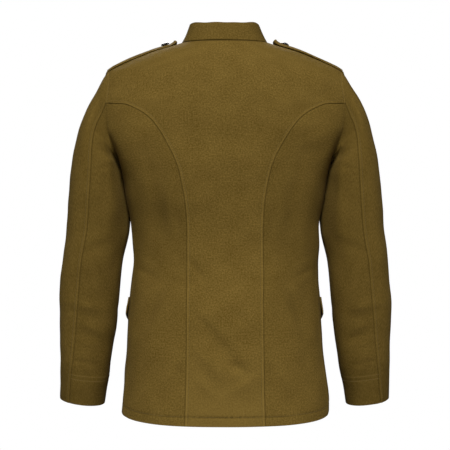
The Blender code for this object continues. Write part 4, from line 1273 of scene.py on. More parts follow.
def make_wool(name, base, fibre, melange, seam, twill, bump):
    """Napped wool: melange colour, painted shade and painted light with rubbed wear, soft sheen and a twill
    bump, on the panel's own map.
    """
    made, tree, shader = new_material(name, WOOL_ROUGHNESS)
    shader.inputs["Specular IOR Level"].default_value = 0.06
    shader.inputs["Sheen Weight"].default_value = 0.03
    shader.inputs["Sheen Roughness"].default_value = 0.45
    shader.inputs["Sheen Tint"].default_value = (0.62, 0.50, 0.26, 1.0)
    where = tree.nodes.new("ShaderNodeUVMap")
    where.uv_map = "cloth"
    mix = placed(tree, melange)
    mix.inputs["Base"].default_value = (*base, 1.0)
    mix.inputs["Fibre"].default_value = (*fibre, 1.0)
    tree.links.new(where.outputs["UV"], mix.inputs["Vector"])
    tone = placed(tree, seam)
    tone.inputs["Fibre"].default_value = (*fibre, 1.0)
    tree.links.new(mix.outputs["Colour"], tone.inputs["Colour"])
    for key, socket in (("painted_darkening", "Shade"), ("raised", "Rub_And_Painted_Light")):
        attribute = tree.nodes.new("ShaderNodeAttribute")
        attribute.attribute_name = key
        tree.links.new(attribute.outputs["Fac"], tone.inputs[socket])
    tree.links.new(tone.outputs["Colour"], shader.inputs["Base Color"])
    weave = placed(tree, twill)
    tree.links.new(where.outputs["UV"], weave.inputs["Vector"])
    bumped = tree.nodes.new("ShaderNodeBump")
    bumped.inputs["Strength"].default_value = bump
    bumped.inputs["Distance"].default_value = 0.00022
    tree.links.new(weave.outputs["Height"], bumped.inputs["Height"])
    tree.links.new(bumped.outputs["Normal"], shader.inputs["Normal"])
    return made


def make_thread(name, colour):
    made, tree, shader = new_material(name, 0.7)
    shader.inputs["Specular IOR Level"].default_value = 0.3
    where = tree.nodes.new("ShaderNodeTexCoord")
    tint = ramp(tree, noise(tree, where.outputs["Object"], 240.0, 2.0), 0.25, 0.75)
    dark = tuple(0.72 * part for part in colour)
    tree.links.new(mixed(tree, tint, dark, colour), shader.inputs["Base Color"])
    return made


def make_button_material():
    """Dark pressed button: nearly black with a cold cast, worn a little lighter and rougher in places."""
    made, tree, shader = new_material("button_dark", 0.42)
    shader.inputs["Coat Weight"].default_value = 0.14
    shader.inputs["Coat Roughness"].default_value = 0.18
    where = tree.nodes.new("ShaderNodeTexCoord")
    shifted_tone = ramp(tree, noise(tree, where.outputs["Object"], 420.0, 4.0, 0.6), 0.50, 0.78)
    tree.links.new(mixed(tree, shifted_tone, BUTTON, BUTTON_WORN), shader.inputs["Base Color"])
    rough = calculate(tree, "MULTIPLY_ADD", shifted_tone, 0.25, 0.28)
    tree.links.new(rough, shader.inputs["Roughness"])
    return made


MELANGE = make_melange_group()
PAINTED_SHADE_RUB_AND_LIGHT = make_painted_tone_group()
TWILL = make_twill_group()
WOOL_CLOTH = make_wool("wool_khaki", WOOL, WOOL_FIBRE, MELANGE, PAINTED_SHADE_RUB_AND_LIGHT, TWILL, 0.55)
THREAD_KHAKI = make_thread("thread_khaki", THREAD)
BUTTON_DARK = make_button_material()


# Seam lines on the wearer's left, each as points along it

FINE = np.linspace(0.0, 1.0, 500)
PRINCESS_SPOTS = princess(FINE)
SIDE_SPOTS = side_seam(FINE)
SHOULDER_SPOTS = shoulder_seam(FINE)
BACK_ARM_SPOTS = armhole(ELBOW_SEAM_START * (1 - FINE))
UNDER_ARM_SPOTS = armhole(ELBOW_SEAM_START + (180.0 - ELBOW_SEAM_START) * FINE)
FRONT_ARM_SPOTS = armhole(180.0 + 180.0 * FINE)
HEM_TURNS = np.linspace(90.0, -100.0, 900)
HEM_SPOTS = np.stack([HEM_TURNS, hem_height(HEM_TURNS)], axis=-1)
NECK_SPOTS = neck(np.linspace(90.0, -105.0, 300))


def on_body(spots, side=1.0, folds=1.0):
    return body(spots[..., 0], spots[..., 1], 0.0, side, folds)


def body_relief(points, side, seams, hem, closing):
    """Relief of a body panel: its seams, the hem's row and edge, and the closing edge where it has one."""
    parts = []
    for spots, welt, stitched, tucks, seed, *more in seams:
        line = on_body(spots, side)
        parts.append(seam_relief(points, line, welt, stitched, tucks, seed + side, *more))
    tucks, dark, deeper = hem
    line = on_body(HEM_SPOTS, side)
    parts.append(stitch_relief(points, line, HEM_STITCH_UP, tucks, 5.0 + side, dark, 0.0, deeper))
    parts.append(edge_relief(points, line))
    if closing is not None:
        line = on_body(closing, side)
        parts.append(stitch_relief(points, line, STITCH_IN, 0.00018, 13.0 + side))
        parts.append(edge_relief(points, line))
    return summed(parts)


def body_panel(spots, side, seams, hem, sunk=0.0, closing=None):
    """One panel of the body from its turns and heights, with the relief of these seams."""
    turn = spots[..., 0]
    height = spots[..., 1]
    rise, shade, light = body_relief(body(turn, height, 0.0, side), side, seams, hem, closing)
    outer = body(turn, height, rise - sunk, side)
    inner = body(turn, height, -WALL - sunk, side)
    return outer, inner, shade, light


def both_halves(left, right):
    """The left half and the mirrored right half joined at the centre line."""
    return [
        np.concatenate([(mirrored(b) if b.ndim == 3 else b)[:, :0:-1], a], axis=1)
        for a, b in zip(left, right)
    ]


# Seams of each body panel: line, welt, whether stitched, tucks, seed, then how dark the painted shade down
# the seam is, how wide it is and how deep the groove
BACK_SEAMS = (
    (PRINCESS_SPOTS, WELT_RISE, True, 0.00022, 1.0, 0.5),
    (BACK_ARM_SPOTS, WELT_RISE, True, 0.00018, 2.0, 0.4),
    (SHOULDER_SPOTS, 0.0, False, 0.00012, 3.0),
    # The neck seam's broad painted shade stands for the collar's shadow
    (NECK_SPOTS, 0.0, False, 0.00020, 4.0, 1.9, 0.0026),
)
SIDE_BACK_SEAMS = (
    (PRINCESS_SPOTS, 0.0, False, 0.00026, 6.0, 0.8),
    (UNDER_ARM_SPOTS, 0.0, False, 0.00010, 7.0, 0.1, 0.0010, 0.2),
    (SIDE_SPOTS, 0.0004, False, 0.00022, 8.0, 1.3, 0.0013),
)
FRONT_SEAMS = (
    (SIDE_SPOTS, 0.00015, False, 0.00022, 9.0),
    (FRONT_ARM_SPOTS, WELT_RISE, True, 0.00018, 10.0),
    (SHOULDER_SPOTS, 0.0, False, 0.00012, 11.0),
    # The neck seam's broad painted shade stands for the collar's shadow
    (NECK_SPOTS, 0.0, False, 0.00020, 12.0, 1.9, 0.0026),
)

# The hem's row of stitches: tucks, how dark the painted shade in its furrow is, and how deep
BACK_HEM = (0.00070, 1.1, 2.2)
SIDE_HEM = (0.00060, 0.6, 1.8)


def whole_places(line_function, counts):
    """A line of turns and heights known in stretches, as one function of a place that counts whole rows."""
    starts = np.concatenate([[0], np.cumsum(counts)])

    def at(places):
        found = np.zeros((len(places), 2))
        for stretch, count in enumerate(counts):
            inside = (places >= starts[stretch]) & (places <= starts[stretch + 1])
            found[inside] = line_function[stretch]((places[inside] - starts[stretch]) / count)
        return found
    return at, int(starts[-1])




def hem_between(inner, outer):
    """The hem between the feet of two edges, whose first heights are set to meet it."""
    turns = np.linspace(inner[0, 0], outer[0, 0], EDGE_POINTS)
    low = np.stack([turns, hem_height(turns)], axis=-1)
    inner[0, 1] = low[0, 1]
    outer[0, 1] = low[-1, 1]
    return low


def rows_between(inner_at, outer_at, count):
    """Row places of a panel, measured midway between its two edges."""
    rough = np.arange(count + 1.0)
    return fine_rows(on_body(0.5 * outer_at(rough) + 0.5 * inner_at(rough)), count)


def crowded_rise(t):
    """Rises quickly first: 1 - (1-t)^crowding."""
    return 1 - (1 - t) ** ROW_CROWDING


def back_spots():
    """Turns and heights over the left half of the centre back, out to the long seam, armhole and shoulder."""
    outer_at, count = whole_places(
        (
            lambda t: princess(crowded_rise(t)),
            lambda t: armhole(ELBOW_SEAM_START * (1 - t)),
            shoulder_seam,
        ),
        (ROWS_BELOW_ARM, ROWS_ARMHOLE_BACK, ROWS_SHOULDER),
    )
    high = neck(np.linspace(90.0, 0.0, EDGE_POINTS))
    high[0, 0] = 90.0
    top = high[0, 1]
    middle = BACK_MIDDLE_ROW

    def inner_at(places):
        t = np.clip(places / ROWS_BELOW_ARM, 0.0, 1.0)
        seam = princess(crowded_rise(t))[:, 1]
        end = PRINCESS["height"][0], armhole(ELBOW_SEAM_START)[1]
        share = 0.6 * (seam - end[0]) / (end[1] - end[0]) + 0.4 * crowded_rise(t)
        low = HEM_BACK + (middle - HEM_BACK) * share
        upper = middle + (top - middle) * (places - ROWS_BELOW_ARM) / (count - ROWS_BELOW_ARM)
        height = np.where(places <= ROWS_BELOW_ARM, low, upper)
        return np.stack([0 * height + 90.0, height], axis=-1)

    places = rows_between(inner_at, outer_at, count)
    inner = inner_at(places)
    outer = outer_at(places)
    low = hem_between(inner, outer)
    return patch(inner, outer, low, high, places / count, BACK_COLUMNS, False)


def side_back_spots():
    """Turns and heights over the left side back, from the long seam to the side seam, up to the armhole."""
    run = np.linspace(0.0, 1.0, ROWS_BELOW_ARM + 1)
    places = fine_rows(on_body(princess(crowded_rise(run))), ROWS_BELOW_ARM) / ROWS_BELOW_ARM
    inner = princess(crowded_rise(places))
    outer = side_seam(crowded_rise(places))
    low = hem_between(inner, outer)
    high = armhole(np.linspace(ELBOW_SEAM_START, 180.0, EDGE_POINTS))
    return patch(inner, outer, low, high, places, SIDE_BACK_COLUMNS, True)


def front_spots():
    """Turns and heights over one front, from its closing edge out to the side, armhole and shoulder."""
    outer_at, count = whole_places(
        (
            lambda t: side_seam(crowded_rise(t)),
            lambda t: armhole(180.0 + 180.0 * t),
            shoulder_seam,
        ),
        (ROWS_BELOW_ARM, ROWS_ARMHOLE_FRONT, ROWS_SHOULDER),
    )
    last_turn = -np.degrees(np.arccos(-OVERLAP / NECK_HALF_WIDTH))
    high = neck(np.linspace(last_turn, 0.0, EDGE_POINTS))
    underarm = FRONT_UNDERARM_ROW
    chest = FRONT_CHEST_ROW
    top = high[0, 1]

    def inner_at(places):
        rise = crowded_rise(np.clip(places / ROWS_BELOW_ARM, 0.0, 1.0))
        by_arm = np.clip((places - ROWS_BELOW_ARM) / ROWS_ARMHOLE_FRONT, 0.0, 1.0) ** 0.8
        by_shoulder = np.clip((places - ROWS_BELOW_ARM - ROWS_ARMHOLE_FRONT) / ROWS_SHOULDER, 0.0, 1.0)
        height = HEM_FRONT + (underarm - HEM_FRONT) * rise + (chest - underarm) * by_arm
        height = height + (top - chest) * by_shoulder
        return np.stack([turn_at(-OVERLAP, height, False), height], axis=-1)

    places = rows_between(inner_at, outer_at, count)
    inner = inner_at(places)
    inner[-1] = high[0]
    outer = outer_at(places)
    low = hem_between(inner, outer)
    return patch(inner, outer, low, high, places / count, FRONT_COLUMNS, True), inner


def make_body_panels():
    spots = back_spots()
    halves = [body_panel(spots, side, BACK_SEAMS, BACK_HEM) for _, side in SIDES]
    outer, inner, shade, light = both_halves(*halves)
    # Painted shade on the upper back and painted light toward the hem
    shade, light = shifted_tone("back", outer[..., 2], shade, light)
    made = {"back": shell("back_panel", "back", outer, inner, True, shade, light)}
    spots = side_back_spots()
    for word, side in SIDES:
        outer, inner, shade, light = body_panel(spots, side, SIDE_BACK_SEAMS, SIDE_HEM)
        # Painted shade on the side back about the waist and painted light at its hem
        shade, light = shifted_tone("side_back", outer[..., 2], shade, light)
        outer, inner = handed(side, outer, inner)
        node = "side_back_" + word
        made[node] = shell(node + "_panel", node, outer, inner, side > 0, shade, light)
    spots, closing = front_spots()
    for word, side in SIDES:
        flat = plain_body(spots[..., 0], spots[..., 1])
        near = ease((UNDERLAP_BLEND - flat[..., 0]) / (UNDERLAP_BLEND - OVERLAP * 1.15))
        sunk = near * UNDER_GAP if side < 0 else 0.0 * near
        outer, inner, shade, light = body_panel(spots, side, FRONT_SEAMS, SIDE_HEM, sunk, closing)
        outer, inner = handed(side, outer, inner)
        node = "front_" + word
        made[node] = shell(node + "_panel", node, outer, inner, side < 0, shade, light)
    return made, closing


def body_line(spots, distance, flip, out, side):
    """Stitch places on the body beside a seam line, with their outward directions, on the side asked for."""
    spots = inside_line(plain_body, spots, distance, (0.3, 0.001), flip)
    points = body(spots[:, 0], spots[:, 1], out, side)
    normals = body_normal(spots[:, 0], spots[:, 1])
    return *handed(side, points, normals), STITCH_PITCH


STITCH_OUT = WELT_RISE * 0.8 - FURROW_DEPTH + STITCH_RADIUS * 0.8
FLAT_OUT = -FURROW_DEPTH + STITCH_RADIUS * 0.8


def within(spots, low, high):
    """The part of a line between two shares of it."""
    return spots[int(low * len(spots)):int(high * len(spots))]


def hem_stretch(first, last, short=0.4):
    """The hem between two seams, in degrees short of each."""
    turns = HEM_SPOTS[:, 0]
    return HEM_SPOTS[(turns < first[0, 0] - 0.4) & (turns > last[0, 0] + short)]


def make_body_stitches(closing):
    pieces = {}
    lines = []
    for _, side in SIDES:
        lines.append(body_line(within(PRINCESS_SPOTS, 0.004, 0.992), STITCH_IN, -1.0, STITCH_OUT, side))
        lines.append(body_line(within(BACK_ARM_SPOTS, 0.05, 0.97), STITCH_IN, -1.0, STITCH_OUT, side))
        hem = HEM_SPOTS[HEM_SPOTS[:, 0] > PRINCESS_SPOTS[0, 0] + 0.4]
        lines.append(body_line(hem, HEM_STITCH_UP, -1.0, FLAT_OUT, side))
    pieces["back"] = make_stitches("back_stitches", lines)
    for word, side in SIDES:
        lines = [body_line(hem_stretch(PRINCESS_SPOTS, SIDE_SPOTS), HEM_STITCH_UP, -1.0, FLAT_OUT, side)]
        pieces["side_back_" + word] = make_stitches(f"side_back_{word}_stitches", lines)
        hem = hem_stretch(SIDE_SPOTS, closing, 0.6)
        lines = [
            body_line(hem, HEM_STITCH_UP, -1.0, FLAT_OUT, side),
            body_line(within(FRONT_ARM_SPOTS, 0.30, 0.97), STITCH_IN, 1.0, STITCH_OUT, side),
        ]
        if side > 0:
            lines.append(body_line(within(closing, 0.004, 0.996), STITCH_IN, -1.0, FLAT_OUT, side))
        pieces["front_" + word] = make_stitches(f"front_{word}_stitches", lines)
    return pieces


# Sleeves


def sleeve_spots(first_at, last_at, count):
    """Turns and runs over one piece of the sleeve, between two seams, from the armhole to the cuff."""
    rough = np.linspace(0.0, 2.0, ROWS_SLEEVE + 1)
    places = fine_rows(plain_sleeve(60.0 + 0 * rough, rough), ROWS_SLEEVE) / (ROWS_SLEEVE / 2)
    first = first_at(places)
    last = last_at(places)
    share = np.linspace(0.0, 1.0, 25)[None]
    between = first[:, None] * (1 - share) + last[:, None] * share
    span_points = plain_sleeve(between, places[:, None] + 0 * share)
    spans = np.linalg.norm(np.diff(span_points, axis=1), axis=-1).sum(axis=1)
    columns = crowded(spans, count)
    turns = first[:, None] * (1 - columns) + last[:, None] * columns
    return np.stack([turns, places[:, None] + 0 * turns], axis=-1)


RUN_FINE = np.linspace(0.0, 2.0, 500)
ELBOW_SPOTS = np.stack([seam_turns(RUN_FINE)[0], RUN_FINE], axis=-1)
FOREARM_SPOTS = np.stack([seam_turns(RUN_FINE)[1], RUN_FINE], axis=-1)
ROUND_FINE = np.linspace(0.0, 360.0, 500)


def on_sleeve(spots, side=1.0):
    return sleeve(spots[..., 0], spots[..., 1], 0.0, side)


def sleeve_parts(points, side, seam_lines):
    """Relief on a sleeve piece: its two seams, the armhole, the cuff's two rows and the cuff's edge."""
    armline = on_sleeve(np.stack([ROUND_FINE, 0 * ROUND_FINE], axis=-1), side)
    cuff = on_sleeve(np.stack([ROUND_FINE, 0 * ROUND_FINE + 2.0], axis=-1), side)
    # Painted shade down the armhole seam and the sleeve's two seams
    parts = [
        seam_relief(points, armline, 0.0, False, SLEEVE_TUCKS, 14.0 + side, 0.15, 0.0010, 0.3),
        edge_relief(points, cuff),
    ]
    # Painted highlight along the cuff's two stitch rows
    if not seam_lines[0][2]:
        for distance, seed in ((CUFF_STITCH_LOW, 15.0), (CUFF_STITCH_HIGH, 16.0)):
            parts.append(stitch_relief(points, cuff, distance, SLEEVE_TUCKS, seed + side, 0.0, 1.5))
    for spots, welt, stitched in seam_lines:
        line = on_sleeve(spots, side)
        parts.append(seam_relief(points, line, welt, stitched, SLEEVE_TUCKS, 17.0 + side, 0.5))
    return summed(parts)


def make_sleeve_panels():
    made = {}
    def elbow(run):
        return seam_turns(run)[0]

    def front(run):
        return seam_turns(run)[1]

    upper = sleeve_spots(lambda run: front(run) - 360.0, elbow, UPPER_COLUMNS)
    under = sleeve_spots(elbow, front, UNDER_COLUMNS)
    for part, spots, seam_lines in (
        ("sleeve_upper", upper, ((ELBOW_SPOTS, WELT_RISE, True), (FOREARM_SPOTS, 0.0, False))),
        ("sleeve_under", under, ((ELBOW_SPOTS, 0.0, False), (FOREARM_SPOTS, 0.0, False))),
    ):
        for word, side in SIDES:
            flat = on_sleeve(spots, side)
            rise, shade, light = sleeve_parts(flat, side, seam_lines)
            # Painted shade down the sleeve: less on the side that faces the body, full near the cuff
            away = np.abs(spots[..., 0] % 360.0 - 180.0)
            held = ease((away - 40.0) / 30.0) * (1 - 0.6 * ease((away - 100.0) / 30.0))
            held = np.maximum(held, ease((-0.600 - flat[..., 2]) / 0.030))
            shade, light = shifted_tone("sleeve", flat[..., 2], shade, light, held)
            outer = sleeve(spots[..., 0], spots[..., 1], rise, side)
            inner = sleeve(spots[..., 0], spots[..., 1], -WALL, side)
            outer, inner = handed(side, outer, inner)
            node = f"{part}_{word}"
            made[node] = shell(node + "_panel", node, outer, inner, side > 0, shade, light)
    return made


def sleeve_line(spots, out, side):
    points = sleeve(spots[:, 0], spots[:, 1], out, side)
    normals = sleeve_normal(spots[:, 0], spots[:, 1])
    return *handed(side, points, normals), STITCH_PITCH


def cuff_row(first, last, distance):
    """Turns and runs of a row of stitches round the cuff, this far above its edge."""
    turns = np.linspace(first, last, 160)
    tables = np.linspace(1.6, 2.0, 40)
    lines = plain_sleeve(turns[:, None], tables[None, :])
    steps = np.linalg.norm(np.diff(lines, axis=1), axis=-1)
    summed_up = np.cumsum(steps[:, ::-1], axis=1)[:, ::-1]
    from_edge = np.concatenate([summed_up, np.zeros((len(turns), 1))], axis=1)
    share = (from_edge > distance).sum(axis=1) - 1
    rows = np.arange(len(turns))
    part = (from_edge[rows, share] - distance) / (from_edge[rows, share] - from_edge[rows, share + 1])
    runs = tables[share] + part * (tables[1] - tables[0])
    return np.stack([turns, runs], axis=-1)


def make_sleeve_stitches():
    pieces = {}
    elbow_end, forearm_end = (value[0] for value in seam_turns(np.array([1.95])))
    for word, side in SIDES:
        beside = inside_line(plain_sleeve, within(ELBOW_SPOTS, 0.01, 0.995), STITCH_IN, (0.4, 0.004), 1.0)
        lines = [sleeve_line(beside, STITCH_OUT, side)]
        pieces["sleeve_upper_" + word] = make_stitches(f"sleeve_upper_{word}_stitches", lines)
        lines = []
        for distance in (CUFF_STITCH_LOW, CUFF_STITCH_HIGH):
            row = cuff_row(elbow_end + 1.0, forearm_end - 1.0, distance)
            lines.append(sleeve_line(row, FLAT_OUT, side))
        pieces["sleeve_under_" + word] = make_stitches(f"sleeve_under_{word}_stitches", lines)
    return pieces


# Collar, straps and flaps


def grid_normals(points):
    """Outward or inward directions square to a grid, from its own steps."""
    return unit(np.cross(np.gradient(points, axis=1), np.gradient(points, axis=0)))


def facing_out(points):
    """Directions square to a grid, turned away from the garment's middle."""
    normals = grid_normals(points)
    return normals * np.sign((normals[..., :2] * points[..., :2]).sum(axis=-1, keepdims=True))


def make_collar():
    """A standing band: straight from neck seam to top edge, hollowed a little, with rounded front ends."""
    turns = np.linspace(-90.0, 270.0, COLLAR_COLUMNS)
    turns[0] += COLLAR_END_TURN
    turns[-1] -= COLLAR_END_TURN
    spots = neck(turns)
    base = body(spots[:, 0], spots[:, 1], 0.0, 1.0, 0.0)
    angle = np.radians(turns)
    deep = np.where(np.sin(angle) >= 0, COLLAR_TOP_BACK, COLLAR_TOP_FRONT)
    front = ease(-np.sin(angle))
    height = COLLAR_TOP_HEIGHT_BACK + (COLLAR_TOP_HEIGHT_FRONT - COLLAR_TOP_HEIGHT_BACK) * front ** 0.9
    side = COLLAR_SIDE_RISE * np.cos(angle) ** 2 * ease((np.sin(angle) + 0.80) / 0.75) - COLLAR_TOP_LOWER
    top = np.stack([COLLAR_TOP_HALF_WIDTH * np.cos(angle), deep * np.sin(angle), height + side], axis=-1)
    top[:, 2] -= COLLAR_SIDE_DROP * ease((0.56 - np.sin(angle)) / 0.50) * ease((np.sin(angle) + 0.85) / 0.8)
    end = np.minimum(turns - turns[0], turns[-1] - turns)
    top[:, 2] -= COLLAR_END_ROUND * (1 - ease(end / 9.0))
    wave = 0.0004 * np.sin(angle * 5.0 + 0.7) + 0.0003 * np.sin(angle * 11.0)
    top[:, 2] += wave * ease(end / 20.0)
    t = close_at_ends(COLLAR_DEPTH, 9, 14)[:, None, None]
    line = base[None] * (1 - t) + top[None] * t
    inward = unit(np.array([1.0, 1.0, 0.0]) * (top - base))[None]
    line = line + inward * COLLAR_HOLLOW * (4 * t * (1 - t) * (1 - t * 0.5))
    normals = facing_out(line)
    swell = unevenness(np.radians(turns)[None] * 0.07 + 0 * line[..., 2], line[..., 2], 11.0)
    edge = np.concatenate([line[::-1, 0], line[-1], line[:, -1]])
    # Painted shade along the collar's foot, for the shadow under its lower edge
    rise, shade, light = summed([
        seam_relief(line, line[0], 0.0, False, 0.00018, 18.0, 1.7, 0.0018),
        edge_relief(line, edge),
    ])
    # Painted shade over the whole collar
    shade, light = shifted_tone("collar", line[..., 2], shade, light)
    outer = line + normals * (rise - 0.6 * swell)[..., None]
    inner = line - normals * (COLLAR_WALL + 0.6 * swell)[..., None]
    return {"collar": shell("collar_band", "collar", outer, inner, False, shade, light)}


def strap_points(across, along, out):
    """Points lying over the shoulder at these places, moved out."""
    height = height_at(across, along)
    turn = turn_over(across, along, height)
    return body(turn, height, out, 1.0, 0.0)


def strap_place(run, side, out):
    """A point of the strap: run 0 at the shoulder and 1 at the tip by the neck, side -1 to 1 across it."""
    across = STRAP_OUTER + (STRAP_TIP - STRAP_OUTER) * run + 0 * side
    taper = np.clip((STRAP_TIP + STRAP_TIP_LENGTH - across) / STRAP_TIP_LENGTH, 0.0, 1.0)
    half_width = STRAP_HALF_WIDTH - (STRAP_HALF_WIDTH - STRAP_TIP_HALF_WIDTH) * taper ** 2
    lift = STRAP_LIFT * np.clip((STRAP_LIFT_FROM - across) / (STRAP_LIFT_FROM - STRAP_TIP), 0.0, 1.0) ** 2
    points = strap_points(across, half_width * side, out)
    points[..., 2] += lift
    return points


def strap_outline(inset, out):
    """A line round the strap's two long sides and its tip, drawn in by this much."""
    length = STRAP_OUTER - STRAP_TIP
    side = 1 - inset / STRAP_HALF_WIDTH
    tip_side = 1 - inset / STRAP_TIP_HALF_WIDTH
    far = 1 - inset / length
    bend = 1 - STRAP_TIP_LENGTH / length
    run = np.concatenate([np.linspace(0.02, bend, 60), np.linspace(bend, far, 20), np.full(20, far)])
    to_tip = np.linspace(side, tip_side, 20)
    sides = np.concatenate([np.full(60, side), to_tip, np.linspace(tip_side, 0.0, 20)])
    run = np.concatenate([run, run[::-1]])
    sides = np.concatenate([sides, -sides[::-1]])
    return strap_place(run, sides, out)


def make_straps():
    made = {}
    stitches = {}
    side = 2 * close_at_ends(2 * STRAP_HALF_WIDTH, 11, 12) - 1
    run = close_at_ends(STRAP_OUTER - STRAP_TIP, 11, 52)
    flat = strap_place(run[:, None], side[None, :], STRAP_GAP)
    normals = grid_normals(flat)
    normals = normals * np.sign(normals[..., 2:3])
    outline = np.concatenate([flat[:, 0], flat[-1], flat[::-1, -1], flat[0, ::-1]])
    stitched = strap_outline(STRAP_STITCH_IN, STRAP_GAP)
    for word, mirror in SIDES:
        sign = np.array([mirror, 1.0, 1.0])
        away, along = nearest(flat, stitched)
        rise = -0.8 * FURROW_DEPTH * bell(away / FURROW_WIDTH)
        rise = rise + STRAP_TUCKS * pucker(along, 20.0 + mirror) * bell(away / 0.005)
        edge, _, light = edge_relief(flat, outline)
        # Painted shade in the stitched furrow
        shade = 0.35 * bell(away / 0.0012)
        swell = 0.6 * unevenness(flat[..., 0] * mirror, flat[..., 1] * 3.0, 12.0)
        crown = STRAP_CROWN * (1 - side ** 2)[None, :] * ease(run / 0.12)[:, None]
        rolled = STRAP_ROLL * bell((1 - run) / 0.035)[:, None]
        sewn = STRAP_SEWN_DOWN * (1 - ease(run / 0.04))[:, None]
        blunt = STRAP_BLUNT * ease((run - 0.984) / 0.016)[:, None] ** 2
        outer = flat + normals * (STRAP_WALL + crown + rolled - sewn + rise + edge - swell - blunt)[..., None]
        inner = flat - normals * (rolled + 0.3 * swell - blunt)[..., None]
        node = "shoulder_strap_" + word
        made[node] = shell(node + "_cloth", node, outer * sign, inner * sign, mirror < 0, shade, light)
        above = STRAP_WALL + 0.36 * STRAP_CROWN - 0.8 * FURROW_DEPTH + 0.8 * STITCH_RADIUS
        line = stitched + np.array([0.0, 0.0, above])
        ups = np.tile([0.35, 0.0, 1.0], (len(line), 1))
        line = (line * sign, unit(ups) * sign, STRAP_STITCH_PITCH)
        stitches[node] = make_stitches(node + "_stitches", [line])
    return made, stitches


def flap_table():
    """Turns along the flap's top edge for even shares of its width."""
    turns = FLAP_REAR_TURN - np.linspace(0.0, 90.0, 600)
    line = plain_body(turns, np.full(600, FLAP_TOP))
    return turns, lengths_along(line)


def flap_place(run, fall, out_more, side):
    """A point of the flap: run 0 to 1 from rear to front end, fall 0 to 1 from the top to the free edge."""
    turns, lengths = flap_table()
    turn = np.interp(run * FLAP_WIDTH, lengths, turns) + 0 * fall
    drop = FLAP_END_DROP + FLAP_POINT_DROP * np.abs(np.sin(np.pi * np.clip(run, 0.0, 1.0))) ** 1.5
    height = FLAP_TOP - drop * fall
    out = FLAP_GAP + FLAP_STAND_OFF * ease(fall) * (1.0 - 0.45 * np.sin(np.pi * run))
    return body(turn, height, out + out_more, side)


def make_flaps():
    made = {}
    stitches = {}
    run = close_at_ends(FLAP_WIDTH, 12, 60)[None, :]
    fall = close_at_ends(FLAP_MIDDLE_DROP, 12, 18)[:, None]
    for word, side in SIDES:
        flat = flap_place(run, fall, 0.0, side)
        normals = facing_out(flat)
        outline = np.concatenate([flat[:, 0], flat[-1], flat[::-1, -1]])
        away, along = nearest(flat, outline)
        rise = -0.8 * FURROW_DEPTH * bell((away - STITCH_IN) / FURROW_WIDTH)
        rise = rise + FLAP_TUCKS * pucker(along, 22.0 + side) * bell((away - STITCH_IN) / 0.006)
        edge, _, light = edge_relief(flat, np.concatenate([outline, flat[0, ::-1]]))
        # Painted shade in the stitched furrow
        shade = 0.35 * bell((away - STITCH_IN) / 0.0012)
        outer = flat + normals * (FLAP_WALL + rise + edge)[..., None]
        node = "pocket_flap_" + word
        sign = np.array([side, 1.0, 1.0])
        made[node] = shell(node + "_cloth", node, outer * sign, flat * sign, side < 0, shade, light)
        rear = STITCH_IN / FLAP_WIDTH
        low = 1 - STITCH_IN / (FLAP_END_DROP + FLAP_POINT_DROP)
        runs = np.concatenate([np.full(20, rear), np.linspace(rear, 1 - rear, 90), np.full(20, 1 - rear)])
        falls = np.concatenate([np.linspace(0.04, low, 20), np.full(90, low), np.linspace(low, 0.04, 20)])
        height_out = FLAP_WALL - 0.8 * FURROW_DEPTH + 0.8 * STITCH_RADIUS
        line = flap_place(runs, falls, height_out, side)
        ups = unit(line * np.array([1.0, 1.0, 0.0]))
        stitches[node] = make_stitches(node + "_stitches", [(line * sign, ups * sign, STITCH_PITCH)])
    return made, stitches


# Buttons

BUTTON_PROFILE = (
    (0.0, 0.10),
    (0.30, 0.10),
    (0.62, 0.06),
    (0.84, 0.03),
    (0.93, 0.10),
    (0.98, 0.20),
    (1.00, 0.32),
    (0.99, 0.44),
    (0.955, 0.53),
    (0.91, 0.565),
    (0.875, 0.545),
    (0.85, 0.53),
    (0.825, 0.56),
    (0.76, 0.67),
    (0.66, 0.79),
    (0.52, 0.89),
    (0.34, 0.96),
    (0.16, 0.99),
    (0.0, 1.0),
)


def make_button(node, place, outward):
    """A domed button with a turned rim: its profile carried round its middle in forty-eight steps."""
    profile = np.array(BUTTON_PROFILE)
    angle = np.linspace(0.0, 2 * math.pi, 48, endpoint=False)
    outward = unit(np.asarray(outward))
    sideways = unit(np.cross(np.array([0.0, 0.0, 1.0]), outward))
    upward = np.cross(outward, sideways)
    rings = profile[1:-1]
    ways = np.cos(angle)[:, None] * sideways + np.sin(angle)[:, None] * upward
    body_rings = (
        place
        + rings[:, None, :1] * BUTTON_RADIUS * ways[None]
        + rings[:, None, 1:] * BUTTON_HEIGHT * outward[None, None]
    )
    low = place + profile[0, 1] * BUTTON_HEIGHT * outward
    high = place + profile[-1, 1] * BUTTON_HEIGHT * outward
    count = len(angle)
    points = np.concatenate([body_rings.reshape(-1, 3), low[None], high[None]])
    index = np.arange(len(rings) * count).reshape(len(rings), count)
    after = np.roll(index, -1, axis=1)
    sides = np.stack([index[:-1], after[:-1], after[1:], index[1:]], axis=-1).reshape(-1, 4)
    under = np.stack([np.full(count, len(points) - 2), after[0], index[0]], axis=-1)
    over = np.stack([np.full(count, len(points) - 1), index[-1], after[-1]], axis=-1)
    mesh = bpy.data.meshes.new(node + "_dome")
    mesh.from_pydata(points.tolist(), [], sides.tolist() + under.tolist() + over.tolist())
    mesh.polygons.foreach_set("use_smooth", np.full(len(mesh.polygons), True))
    mesh.materials.append(BUTTON_DARK)
    item = add_object(node + "_dome", mesh)
    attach(item, "root")
    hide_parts(node)
    return item


